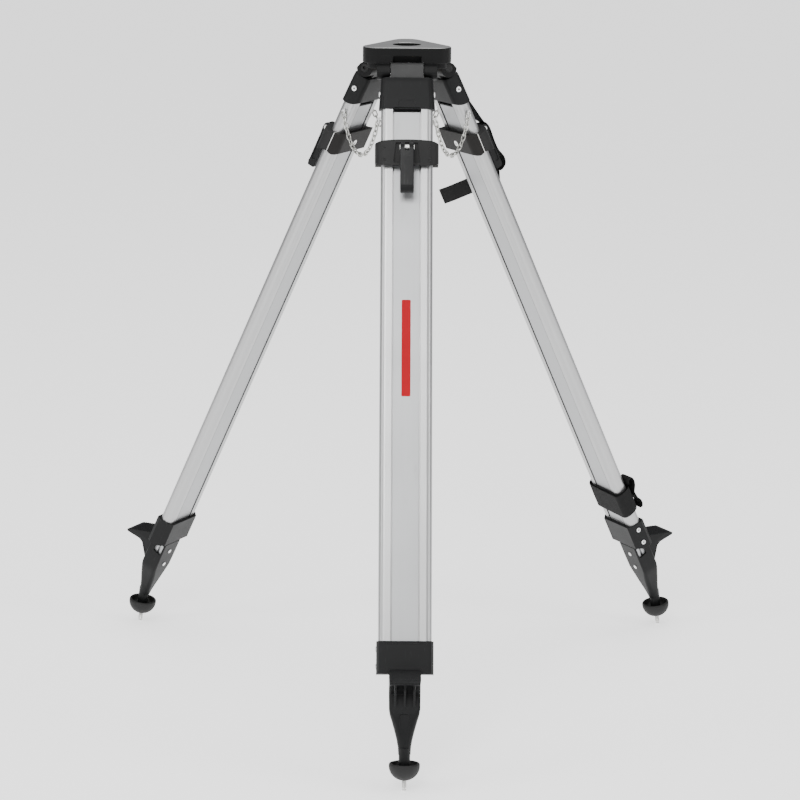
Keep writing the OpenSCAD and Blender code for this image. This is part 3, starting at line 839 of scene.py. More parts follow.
@dataclass
class LegFrame:
    """A leg's coordinates and where its joints lie."""

    shop: Workshop
    name: LegName
    offset: float = 4.0

    def __post_init__(self) -> None:
        """Works the coordinates out from the leg's joints."""
        fold = self.shop.joint(f"{self.name.value}_fold")
        down = Vector(self.shop.joint(f"{self.name.value}_extend")["axis"]).normalized()
        across = -Vector(fold["axis"]).normalized()
        inwards = (-down).cross(across)
        turn = Matrix((across, inwards, -down)).transposed().to_4x4()
        self.hinge = Vector(fold["pos_m"])
        self.matrix = Matrix.Translation(self.hinge - inwards * self.offset * MM) @ turn

    def at(self, t: float, n: float, s: float) -> Vector:
        """A point of the frame, from leg coordinates in millimetres."""
        return self.matrix @ (Vector((t, -n, -s)) * MM)


# ---- head ----


@dataclass
class Head:
    """The head casting with its fixing screw."""

    shop: Workshop
    corner_r: float = 23.0
    corner_d: float = 54.0
    plate_t: float = 13.0
    skirt_h: float = 25.0
    skirt_x: float = 44.0
    bore_r: float = 22.6
    hinge_r: float = 50.0
    hinge_drop: float = 36.0
    lug_r: float = 14.5
    lug_in: float = 26.3
    lug_out: float = 47.3
    bolt_r: float = 7.0
    boss_r: float = 16.0
    boss_h: float = 34.0
    rib_n: float = 31.0
    corners: tuple[float, ...] = (-30.0, 90.0, 210.0)

    def corner_arc(self, angle: float, steps: int = 14) -> list[Pair]:
        """The round of one corner, whose middle looks along angle."""
        mid = math.radians(angle)
        centre = Vector((math.cos(mid), math.sin(mid))) * self.corner_d
        turns = [mid + math.radians(60) * (2 * k / steps - 1) for k in range(steps + 1)]
        return [(centre.x + self.corner_r * math.cos(a), centre.y + self.corner_r * math.sin(a))
                for a in turns]

    def build(self) -> None:
        """Makes the casting and dresses the fixing screw."""
        body = Shape().prism(Plane.DOWN, [(x, -y) for a in self.corners for x, y in self.corner_arc(a)],
                             0.0, self.plate_t)
        body.round(2.2, 4, 60, lambda m: m.z > -1)
        body.round(0.7, 2, 60, lambda m: m.z < -self.plate_t + 1)
        body.cut(Shape().turned([(0, 5), (self.bore_r + 0.9, 5), (self.bore_r + 0.9, 0.0001),
                                 (self.bore_r, -0.9), (self.bore_r, -20), (0, -20)],
                                Matrix.Identity(4), 72))
        for angle in self.corners:
            body.fuse(self.skirt(angle))
        for k in range(3):
            turn = Matrix.Rotation(math.radians(120 * k), 4, "Z")
            body.fuse(self.lug().mirrored().move(turn))
            rib = Shape().prism(Plane.DOWN, box_outline(-self.lug_in, self.lug_in, self.rib_n, self.rib_n + 3),
                                self.plate_t - 0.5, self.skirt_h)
            body.fuse(rib.move(turn))
            room = Shape().turned([(0, -self.lug_in), (13.3, -self.lug_in), (13.3, self.lug_in), (0, self.lug_in)],
                                  axis_at(Vector((0, -self.hinge_r, -self.hinge_drop)), Vector((1, 0, 0))), 48)
            body.cut(room.move(turn))
        self.shop.finish(body.piece("head_casting", Matrix.Identity(4)), self.shop.finishes.head,
                         "head", ["head_plate"])
        kinds = self.shop.finishes
        for node, finish in {"swing_arm": kinds.arm, "arm_pivot": kinds.zinc, "screw_bush": kinds.brass,
                             "fixing_screw": kinds.steel, "fixing_knob": kinds.knob}.items():
            self.shop.dress_node(node, finish)
        for leg in LegName:
            self.shop.dress_node(f"{leg.value}_hinge_bolt", kinds.bolt)

    def skirt(self, angle: float) -> Shape:
        """The skirt and the boss under one corner."""
        arc = self.corner_arc(0.0)
        edge_x, edge_y = arc[-1]
        wide = edge_y + (edge_x - self.skirt_x) * math.tan(math.radians(30))
        outline = [*arc, (self.skirt_x, wide), (self.skirt_x, -wide)]
        made = Shape().prism(Plane.DOWN, [(x, -y) for x, y in outline], self.plate_t - 0.5, self.skirt_h)
        made.round(1.4, 3, 50, lambda m: m.z < -self.plate_t)
        high = 1.0 - self.plate_t
        made.fuse(Shape().turned([(0, high), (self.boss_r, high), (self.boss_r, 1.2 - self.boss_h),
                                  (self.boss_r - 1.2, -self.boss_h), (0, -self.boss_h)],
                                 Matrix.Translation((self.corner_d, 0, 0))))
        return made.move(Matrix.Rotation(math.radians(angle), 4, "Z"))

    def lug(self) -> Shape:
        """One lug of the front leg's hinge."""
        radius, far, drop = self.lug_r, self.hinge_r, self.hinge_drop
        lower = [(far + radius * math.cos(a), drop + radius * math.sin(a))
                 for a in (math.radians(12 * k) for k in range(16))]
        outline = [*lower, (far - radius, self.plate_t - 0.5), (far - 0.5, self.plate_t - 0.5),
                   (far - 0.5, self.skirt_h), (far + 8.5, drop - 6.4)]
        made = Shape().prism(Plane.SIDE, outline, self.lug_in, self.lug_out).round(1.0, 2, 50)
        drill = Shape().turned([(0, -6), (self.bolt_r, -6), (self.bolt_r, 6), (0, 6)],
                               axis_at(Vector((self.lug_out + 2.5, -far, -drop)), Vector((1, 0, 0))))
        return made.cut(drill)


# ---- leg ----


@dataclass
class Leg:
    """One leg: shroud, rails, clamp, lever, tube and foot."""

    shop: Workshop
    name: LegName
    half_w: float = 40.5
    rail_n: float = 11.5
    slot: float = 22.0
    tongue: float = 25.5
    head_s: tuple[float, float] = (16.1, 67.0)
    head_n: tuple[float, float] = (-16.5, 14.2)
    collar_s: tuple[float, float] = (119.0, 161.0)
    collar_half: float = 49.7
    collar_n: tuple[float, float] = (-20.45, 22.55)
    pin: Pair = (32.4, 135.8)
    lever_half: float = 10.5
    guide_s: tuple[float, float] = (900.0, 949.5)
    foot_s: float = 951.0
    bend: Pair = (1.5, 1063.7)
    bend_angle: float = 16.5
    foot_half: float = 23.7
    tube_n: float = 5.5

    def __post_init__(self) -> None:
        """Finds the leg's coordinates."""
        self.frame = LegFrame(self.shop, self.name)

    def body(self, part: str) -> str:
        """The CAD body of a part of this leg."""
        return f"{self.name.value}_{part}"

    def keep(self, shape: Shape, name: str, finish: Finish, part: str, *nodes: str,
             smooth: float = 32.0) -> bpy.types.Object:
        """Finishes a shape drawn in leg coordinates as a piece of this leg."""
        thing = shape.piece(self.body(name), self.frame.matrix, smooth)
        return self.shop.finish(thing, finish, self.body(part), [self.body(n) for n in nodes], self.frame)

    def build(self) -> None:
        """Makes every piece of the leg."""
        self.shroud()
        self.clamp()
        self.lever()
        self.guide()
        self.fixings()
        self.foot()
        self.point()
        kinds = self.shop.finishes
        for node, finish in {"rail_a": kinds.rail, "rail_b": kinds.rail, "inner_tube": kinds.tube,
                             "tube_plug": kinds.plug, "clamp_bolt": kinds.zinc,
                             "foot_rivets": kinds.rivet}.items():
            self.shop.dress_node(self.body(node), finish, self.frame)

    def shroud(self) -> None:
        """The moulded head of the leg, and the cast tongue that it hangs by."""
        (top, bottom), (inner, outer) = self.head_s, self.head_n
        w = self.half_w
        rings = []
        for s, half, n0, n1, r in ((top, w - 1.6, inner + 3.4, outer - 1.8, 7.0),
                                   (top + 1.6, w, inner + 1.6, outer - 0.6, 8.5),
                                   (top + 8.0, w + 0.6, inner, outer, 9.0),
                                   (bottom - 8.0, w + 3.0, inner, outer, 9.5),
                                   (bottom + 3.0, w + 3.7, inner, outer, 9.5)):
            rings.append([Plane.DOWN.point(x, y, s) for x, y in box_outline(-half, half, n0, n1, r)])
        made = Shape().loft(rings)
        below = [(-30.0, bottom + 20), (30.0, bottom + 20), (30.0, bottom - 0.5),
                 *[(n, bottom + 0.9 - 8.5 * max(0.0, (5.0 - n) / 22.0) ** 2 - 0.8 * max(0.0, (n - 5.0) / 9.0))
                   for n in range(16, -19, -3)], (-30.0, bottom - 18)]
        made.cut(Shape().prism(Plane.SIDE, below, -60.0, 60.0))
        mark = [(-13.0, bottom - 13.5, 0.8), (11.0, bottom - 13.5, 0.8), (14.5, bottom - 2.2, 0.8),
                (-14.5, bottom - 2.2, 0.8)]
        made.cut(Shape().prism(Plane.FACE, fillet(mark, 2), outer - 0.7, outer + 5))
        made.cut(Shape().prism(Plane.FACE, box_outline(-self.slot + 1, self.slot - 1, bottom - 1.6,
                                                       bottom + 9, 0.6), outer - 3.2, outer + 5))
        slits = Shape().prism(Plane.FACE, box_outline(self.half_w - 4.6, self.half_w - 3.8, top - 4,
                                                      bottom + 9), outer - 0.9, outer + 5).mirrored()
        made.cut(slits)
        self.keep(made.round(0.5, 2, 50), "shroud", self.shop.finishes.shroud, "leg", "leg_head")
        t = self.tongue
        barrel = [(-4.0 + 12.5 * math.cos(a), 12.5 * math.sin(a))
                  for a in (math.radians(180 + 15 * k) for k in range(13))]
        outline = [*barrel, (outer - 4.2, top + 6), (inner + 4.5, top + 6)]
        tongue = Shape().prism(Plane.SIDE, outline, -t, t).round(0.9, 2, 50)
        self.keep(tongue, "tongue", self.shop.finishes.tongue, "leg")

    def rails_room(self, s0: float, s1: float, gap: float) -> Shape:
        """The room that the two rails need, with a gap round them."""
        x0, x1, n = self.slot - gap, self.half_w + gap, self.rail_n + gap
        outline = fillet([(x0, -n), (x1, -n, 9.0 + gap), (x1, n, 9.0 + gap), (x0, n)], 8)
        return Shape().prism(Plane.DOWN, outline, s0, s1).mirrored()

    def clamp(self) -> None:
        """The two halves of the clamp collar."""
        (top, bottom), (inner, outer) = self.collar_s, self.collar_n
        w = self.collar_half
        bow = [(t, outer - 2.4 * (abs(t) / w) ** 2) for t in range(-35, 36, 5)]
        front = fillet([(-w, -1.0, 0.8), (w, -1.0, 0.8), (w, 19.6, 15.0), *[(t, n) for t, n in reversed(bow)],
                        (-w, 19.6, 15.0)], 8)
        plate = Shape().prism(Plane.DOWN, front, top, bottom + 1.1)
        lip = [(-60.0, top - 9), (60.0, top - 9), (60.0, top + 5.4),
               *[(t, top + 1.2 + 3.6 * (abs(t) / w) ** 3) for t in range(49, -50, -7)], (-60.0, top + 5.4)]
        plate.cut(Shape().prism(Plane.FACE, fillet(lip), -40.0, 60.0))
        under = [(-9.0, 153.0), (-1.0, 153.7), (8.0, 155.0), (14.0, 157.4), (18.0, 160.4), (23.0, 162.1),
                 (60.0, 162.1), (60.0, 190), (-9.0, 190)]
        plate.cut(Shape().prism(Plane.SIDE, under, -60.0, 60.0))
        plate.round(1.6, 3, 50, lambda m: -m.y > 2.0)
        plate.cut(self.rails_room(top - 5, bottom + 5, 0.35))
        plate.cut(Shape().prism(Plane.DOWN, [(-23.0, -5.0), (23.0, -5.0), (23.0, self.tube_n),
                                             (-23.0, self.tube_n)], top - 5, bottom + 5))
        for side in (-1, 1):
            corner = [(side * (w + 1), bottom - 4.5), (side * (w + 1), bottom + 9), (side * (w - 16), bottom + 9),
                      (side * (w - 5.0), bottom + 1.2)]
            plate.cut(Shape().prism(Plane.FACE, corner, 4.0, 60.0))
        seat = [(-17.5, top + 6, 2.0), (17.5, top + 6, 2.0), (21.0, bottom - 3.0, 2.0), (-21.0, bottom - 3.0, 2.0)]
        plate.cut(Shape().prism(Plane.FACE, fillet(seat, 4), outer - 3.4, outer + 9))
        plate.cut(Shape().prism(Plane.SIDE, box_outline(outer - 30.0, 60.0, self.pin[1] - 3.3,
                                                        self.pin[1] + 3.3), -3.3, 3.3))
        for t in (-35.5, 35.5):
            for s in (top + 14.0, top + 33.0):
                spot = self.bowed(t, w) - 0.1
                plate.turned([(0, 0), (2.4, 0), (2.4, 0.5), (1.8, 0.9), (1.2, 0.45), (0, 0.3)],
                             axis_at(Plane.FACE.point(t, s, spot), Vector((0, -1, 0))), 20)
        self.keep(plate, "clamp_cover", self.shop.finishes.collar, "lower", "clamp_plate")
        back = fillet([(-w + 0.4, -3.0, 0.6), (-w + 0.4, inner, 11.0), (w - 0.4, inner, 11.0),
                       (w - 0.4, -3.0, 0.6)], 9)
        shell = Shape().prism(Plane.DOWN, back, top - 6, bottom + 5)
        scoop = [(2.0, top + 1.2), (-4.0, top + 1.0), (-10.0, top - 0.4), (-15.0, top - 2.8),
                 (-19.0, top - 5.0), (-26.0, top - 6.6), (-26.0, top - 20), (2.0, top - 20)]
        belly = [(2.0, bottom - 8.0), (-3.0, bottom - 7.2), (-8.0, bottom - 5.8), (-12.0, bottom - 5.8),
                 (-17.0, bottom - 8.0), (-26.0, bottom - 14.0), (-26.0, bottom + 20), (2.0, bottom + 20)]
        for outline in (scoop, belly):
            shell.cut(Shape().prism(Plane.SIDE, outline, -60.0, 60.0))
        shell.round(1.2, 3, 50, lambda m: -m.y < -3.6)
        shell.cut(self.rails_room(top - 9, bottom + 9, 0.35))
        shell.cut(Shape().prism(Plane.DOWN, [(-23.0, 0.0), (23.0, 0.0), (23.0, -10.9), (-23.0, -10.9)],
                                top - 9, bottom + 9))
        shim = Shape().prism(Plane.DOWN, box_outline(41.2, w - 0.7, -2.7, -1.3, 0.3), top + 1.6, bottom - 7.6)
        self.keep(shim.mirrored(), "clamp_shims", self.shop.finishes.zinc, "lower")
        head = Shape().turned([(0, -9), (5.6, -9), (5.6, 3), (0, 3)],
                              axis_at(Plane.FACE.point(0, self.pin[1], inner), Vector((0, 1, 0))), 24)
        shell.cut(head.move(Matrix.Translation((0, 6, 0))))
        self.keep(shell, "clamp_back", self.shop.finishes.shell, "lower", "clamp_shell")

    def bowed(self, t: float, w: float) -> float:
        """How far out the bowed clamp cover stands at t."""
        return self.collar_n[1] - 2.4 * (abs(t) / w) ** 2

    def lever(self) -> None:
        """The clamp lever: forked top round the bolt, ribbed sides, ledge at the tip."""
        n, s = self.pin
        half = self.lever_half
        side = fillet([(n - 7.6, s + 72.2, 2.6), (n - 7.6, s + 12), (n - 8.4, s - 2.0), (n - 7.0, s - 6.6, 1.6),
                       (n - 0.5, s - 7.6, 4.0), (n + 5.2, s - 6.0, 4.0), (n + 6.6, s + 1.5, 4.0),
                       (n + 5.8, s + 16, 8.0), (n + 5.9, s + 62, 2.0), (n + 6.6, s + 65.0, 1.0),
                       (n + 4.6, s + 72.6, 3.0)], 5)
        made = Shape().prism(Plane.SIDE, side, -half, half)
        made.round(1.0, 2, 40)
        made.cut(Shape().prism(Plane.SIDE, box_outline(n - 30, n + 30, s - 30, s + 6.0), -3.4, 3.4))
        pocket = fillet([(n - 4.9, s + 11, 3.0), (n + 3.4, s + 13, 3.0), (n + 3.4, s + 60, 3.0),
                         (n - 4.9, s + 60, 3.0)], 4)
        made.cut(Shape().prism(Plane.SIDE, pocket, half - 1.8, half + 3).mirrored())
        rib = fillet([(n - 2.2, s + 8, 0.8), (n + 0.6, s + 8, 0.8), (n + 0.6, s + 55, 1.3), (n - 2.2, s + 55, 1.3)], 3)
        made.add(Shape().prism(Plane.SIDE, rib, half - 2.2, half - 0.4).round(0.5, 2, 50).mirrored())
        ring = Shape().turned([(5.2, -0.4), (7.0, -0.4), (7.0, 0.2), (6.6, 0.6), (5.6, 0.6), (5.2, 0.2)],
                              axis_at(Vector((half, -n, -s)), Vector((1, 0, 0))), 28)
        made.add(ring.mirrored())
        bore = Shape().turned([(0, -half - 3), (4.05, -half - 3), (4.05, half + 3), (0, half + 3)],
                              axis_at(Vector((0, -n, -s)), Vector((1, 0, 0))), 32)
        made.cut(bore)
        self.keep(made, "lever_arm", self.shop.finishes.lever, "lever", "clamp_lever")

    def guide(self) -> None:
        """The moulded end of the rails that guides the tube."""
        top, bottom = self.guide_s
        w = self.half_w + 2.5
        outline = [(-w + 8, -16.5), (w - 8, -16.5), (w, -8.5), (w, 9.5), (w - 3.4, 15.4), (w - 7, 15.7),
                   (-w + 7, 15.7), (-w + 3.4, 15.4), (-w, 9.5), (-w, -8.5)]
        made = Shape().prism(Plane.DOWN, outline, top, bottom)
        slope = [(-30.0, bottom + 20), (-30.0, bottom - 7.5), (-12.0, bottom - 4.0), (2.0, bottom - 0.01), (2.0, bottom + 20)]
        made.cut(Shape().prism(Plane.SIDE, slope, -60.0, 60.0))
        made.round(0.9, 3, 25)
        made.cut(self.rails_room(top - 5, bottom - 5.0, 0.12))
        made.cut(Shape().prism(Plane.DOWN, [(-20.35, -10.85), (20.35, -10.85), (20.35, 5.85), (-20.35, 5.85)],
                               top - 5, bottom + 5))
        step = Shape().prism(Plane.FACE, box_outline(-w + 9, w - 9, top + 3.0, top + 4.0), 15.1, 20)
        made.cut(step)
        self.keep(made, "rail_end", self.shop.finishes.foot, "leg", "end_guide")

    def rivet(self, made: Shape, at: Vector, out: Vector, radius: float) -> None:
        """Adds a hollow rivet head that looks along out."""
        made.turned([(0, -1.2), (radius, -1.2), (radius, 0.8), (radius - 0.6, 1.5), (radius - 2.0, 1.7), (1.7, 1.3),
                     (1.5, 0.9), (1.5, -0.7), (0, -0.7)], axis_at(at, out), 28)

    def fixings(self) -> None:
        """The rivets of the shroud and of the rail end, and the two eyes of the chains."""
        across = Vector((1, 0, 0))
        made = Shape()
        self.rivet(made, Vector((42.3, 0, -40.5)), across, 4.4)
        eye = Matrix.Translation((45.1, 0, -83.0)) @ Matrix.Rotation(math.radians(25.8), 4, "X")
        wire = [(3.1 + 1.1 * math.cos(a), 1.1 * math.sin(a)) for a in (math.radians(30 * k) for k in range(12))]
        made.turned(wire, eye @ Matrix.Rotation(math.radians(60), 4, "Z") @ Matrix.Rotation(math.radians(90), 4, "X"), 28)
        made.turned([(0, 0.2), (1.1, 0), (1.5, 0.5), (1.5, 7.2), (0, 7.4)],
                    eye @ Matrix.Translation((0.6, 0, 3.1)) @ Matrix.Rotation(math.radians(-90), 4, "Y"), 20)
        made.mirrored()
        for s in (911.0, 937.0):
            self.rivet(made, Vector((-43.0, 1.5, -s)), -across, 4.0)
        self.keep(made, "rivets", self.shop.finishes.rivet, "leg", "leg_fixings")

    def foot(self) -> None:
        """The stepping foot, with its tread, its windows and the boss of the point."""
        f = self.foot_s
        rings = []
        for s, half, n0, n1, r in ((f, 23.7, -13.0, 16.6, 3.0), (f + 1.2, 23.7, -13.0, 17.0, 3.0),
                                   (f + 26, 23.7, -13.0, 17.4, 3.2), (f + 50, 23.4, -13.0, 17.9, 4.0),
                                   (f + 58, 22.2, -12.9, 17.9, 5.5), (f + 66, 19.6, -12.8, 17.3, 6.5),
                                   (f + 80, 15.6, -12.2, 15.2, 7.0), (f + 94, 12.0, -11.2, 12.2, 7.4),
                                   (f + 106, 9.9, -10.3, 9.6, 7.8), (f + 117, 9.3, -9.6, 7.6, 7.9)):
            rings.append([Plane.DOWN.point(x, y, s) for x, y in box_outline(-half, half, n0, n1, r)])
        made = Shape().loft(rings)
        made.fuse(Shape().turned([(0, -6), (8.4, -6), (8.6, 8), (8.6, 25), (10.2, 26), (10.2, 28.4), (0, 29.4)],
                                 self.point_axis()))
        room = [(-20.05, -10.55), (20.05, -10.55), (20.05, 5.55), (-20.05, 5.55)]
        made.cut(Shape().prism(Plane.DOWN, room, f - 9, f + 22.6))
        window = fillet([(-10.4, f + 3.0, 1.0), (5.4, f + 2.0, 1.0), (5.4, f + 20.0, 1.0), (-10.0, f + 22.4, 1.0)], 3)
        made.cut(Shape().prism(Plane.SIDE, window, 19.0, 40.0).mirrored())
        made.cut(Shape().turned([(0, -9), (2.05, -9), (2.05, 9), (0, 9)],
                                axis_at(Plane.FACE.point(0, f + 18, -12), Vector((0, 1, 0))), 20))
        dish = fillet([(-9.0, f + 58, 4.0), (9.0, f + 58, 4.0), (5.0, f + 96, 3.0), (-5.0, f + 96, 3.0)], 4)
        made.cut(Shape().prism(Plane.FACE, dish, 15.2, 30.0))
        made.add(self.tread())
        self.keep(made, "step_foot", self.shop.finishes.foot, "lower", "foot")

    def tread(self) -> Shape:
        """The step that a boot pushes on, with teeth across its top."""
        f, half, teeth, tall = self.foot_s, self.foot_half, 11, 0.9
        first, last = Vector((23.5, f - 5.8)), Vector((62.0, f + 13.3))
        top = []
        for k in range(teeth):
            a, b = first.lerp(last, k / teeth), first.lerp(last, (k + 0.7) / teeth)
            top += [(a.x, a.y + tall), (a.x + 0.4, a.y), (b.x, b.y), (b.x + 0.5, b.y + tall)]
        outline = [(14.0, f + 2), (18.8, f - 7.6), *top, (64.6, f + 14.6), (67.4, f + 17.4), (66.8, f + 19.8),
                   (64.4, f + 20.6), (38.4, f + 18.4), (26.0, f + 24.0), (14.0, f + 31)]
        made = Shape().prism(Plane.SIDE, outline, -half, half)
        side = fillet([(-half, f - 20), (half, f - 20), (half, f + 10, 6.0), (half - 3.0, f + 40), (-half + 3.0, f + 40),
                       (-half, f + 10, 6.0)], 4)
        made.meet(Shape().prism(Plane.FACE, side, -30.0, 90.0))
        made.round(0.5, 2, 55)
        for t in (-14.0, 0.0, 14.0):
            web = [(13.0, f + 20), (60.0, f + 19.6), (36.0, f + 25), (15.5, f + 52)]
            made.add(Shape().prism(Plane.SIDE, web, t - 1.6, t + 1.6).round(0.5, 2, 50))
        return made

    def point_axis(self) -> Matrix:
        """Placing of the steel point: local z runs down its axis from the foot's bend."""
        lean = math.radians(self.bend_angle)
        n, s = self.bend
        return axis_at(Vector((0, -n, -s)), Vector((0, math.sin(lean), -math.cos(lean))))

    def point(self) -> None:
        """The steel point and the rubber cup that screws over it."""
        thread = [(3.5 - 0.45 * (k % 2), 12.0 + 0.65 * k) for k in range(64)]
        tip = [(3.5, 53.6), (3.4, 54.2), (2.3, 55.0), (2.1, 56.2), (2.9, 56.9), (2.6, 57.8), (1.5, 59.2), (0.0, 60.0)]
        made = Shape().turned([(0.0, 9.4), (3.4, 9.4), *thread, *tip], self.point_axis(), 28)
        self.keep(made, "steel_point", self.shop.finishes.steel, "lower", "spike")
        dome = [(23.4 * math.cos(a), 21.0 + 22.4 * math.sin(a))
                for a in (math.radians(6 * k) for k in range(0, 14))]
        rim = [(18.6, 24.0), (19.3, 18.4), (19.8, 17.4), (20.8, 17.0), (22.0, 17.1), (22.9, 17.9), (23.35, 19.4)]
        cup = [(3.6, 30.4), (10.8, 30.4), (10.8, 28.6), (14.2, 28.0), (17.0, 26.4), *rim, *dome, (3.6, 43.35)]
        made = Shape().turned(cup, self.point_axis(), 56)
        self.keep(made, "rubber_cup", self.shop.finishes.rubber, "rubber", "rubber_foot", smooth=50.0)


# ---- chains ----


@dataclass
class Chains:
    """The three spreader chains that hang between neighbouring legs."""

    shop: Workshop
    legs: dict[LegName, Leg]
    pitch: float = 9.1
    links: int = 19
    wire: float = 1.1
    bend_r: float = 3.1
    eye: tuple[float, float] = (45.1, 83.0)

    def link(self) -> Shape:
        """One link, flat in x and y."""
        half = (self.pitch + 2 * self.wire) / 2 + 0.05 - self.bend_r
        bm = bmesh.new()
        ring = bmesh.ops.create_circle(bm, segments=10, radius=self.wire,
                                       matrix=Matrix.Translation((half, -self.bend_r, 0))
                                       @ Matrix.Rotation(math.pi / 2, 4, "Y"))["verts"]
        edges = list({e for v in ring for e in v.link_edges})
        last = [*ring, *edges]
        for x, sign in ((half, -1), (-half, 1)):
            last = bmesh.ops.spin(bm, geom=last, cent=(x, 0, 0), axis=(0, 0, 1), dvec=(0, 0, 0),
                                  angle=math.pi, steps=8, use_merge=False)["geom_last"]
            rim = [g for g in last if isinstance(g, bmesh.types.BMEdge)]
            last = bmesh.ops.extrude_edge_only(bm, edges=rim)["geom"]
            verts = [g for g in last if isinstance(g, bmesh.types.BMVert)]
            last = [*verts, *[g for g in last if isinstance(g, bmesh.types.BMEdge)
                              and all(v in verts for v in g.verts)]]
            bmesh.ops.translate(bm, verts=verts, vec=(2 * half * sign, 0, 0))
        bmesh.ops.remove_doubles(bm, verts=bm.verts[:], dist=1e-3)
        return Shape().take(bm)

    def spread(self, span: float, length: float) -> float:
        """The catenary's parameter for a span and a length."""
        low, high = 2.0, 400.0
        for _ in range(60):
            middle = (low + high) / 2
            if 2 * middle * math.sinh(span / 2 / middle) > length:
                low = middle
            else:
                high = middle
        return (low + high) / 2

    def build(self) -> None:
        """Hangs a chain between each two neighbouring legs, made as two halves split at the middle link."""
        order = list(LegName)
        for k, name in enumerate(order):
            self.hang(self.legs[name], self.legs[order[(k + 1) % 3]])

    def hang(self, first: Leg, second: Leg) -> None:
        """Hangs one chain from the right of one leg to the left of the next."""
        t, s = self.eye
        start, end = first.frame.at(t, 0, s) / MM, second.frame.at(-t, 0, s) / MM
        span = (end - start).length
        length = self.pitch * self.links + 2 * self.wire + 0.1
        sag = self.spread(span, length)
        low = sag * math.cosh(span / 2 / sag)
        turn = Matrix.Translation((start + end) / 2) @ Matrix.Rotation(
            math.atan2(end.y - start.y, end.x - start.x), 4, "Z")
        halves = (Shape(), Shape())
        for k in range(self.links):
            u = (k - (self.links - 1) / 2) * self.pitch
            x = sag * math.asinh(u / sag)
            place = turn @ Matrix.Translation((x, 0, sag * math.cosh(x / sag) - low)) @ Matrix.Rotation(
                -math.atan(math.sinh(x / sag)), 4, "Y")
            roll = Matrix.Rotation(math.radians(90 * (k % 2)), 4, "X")
            halves[0 if k <= self.links // 2 else 1].add(self.link().move(place @ roll))
        middle = (start + end) / 2
        middle.z -= low - sag
        for shape, leg, top in zip(halves, (first, second), (start, end)):
            thing = shape.piece(f"chain_{first.name.value}_{leg.name.value}", Matrix.Identity(4), 60.0)
            self.shop.paint(thing, self.shop.finishes.chain)
            leg.body("leg")
            tuple(top * MM)
            tuple(middle * MM)
            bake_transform(thing)
            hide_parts("spreader_chains")
            LOG.info("piece %s", thing.name)


# ---- straps ----


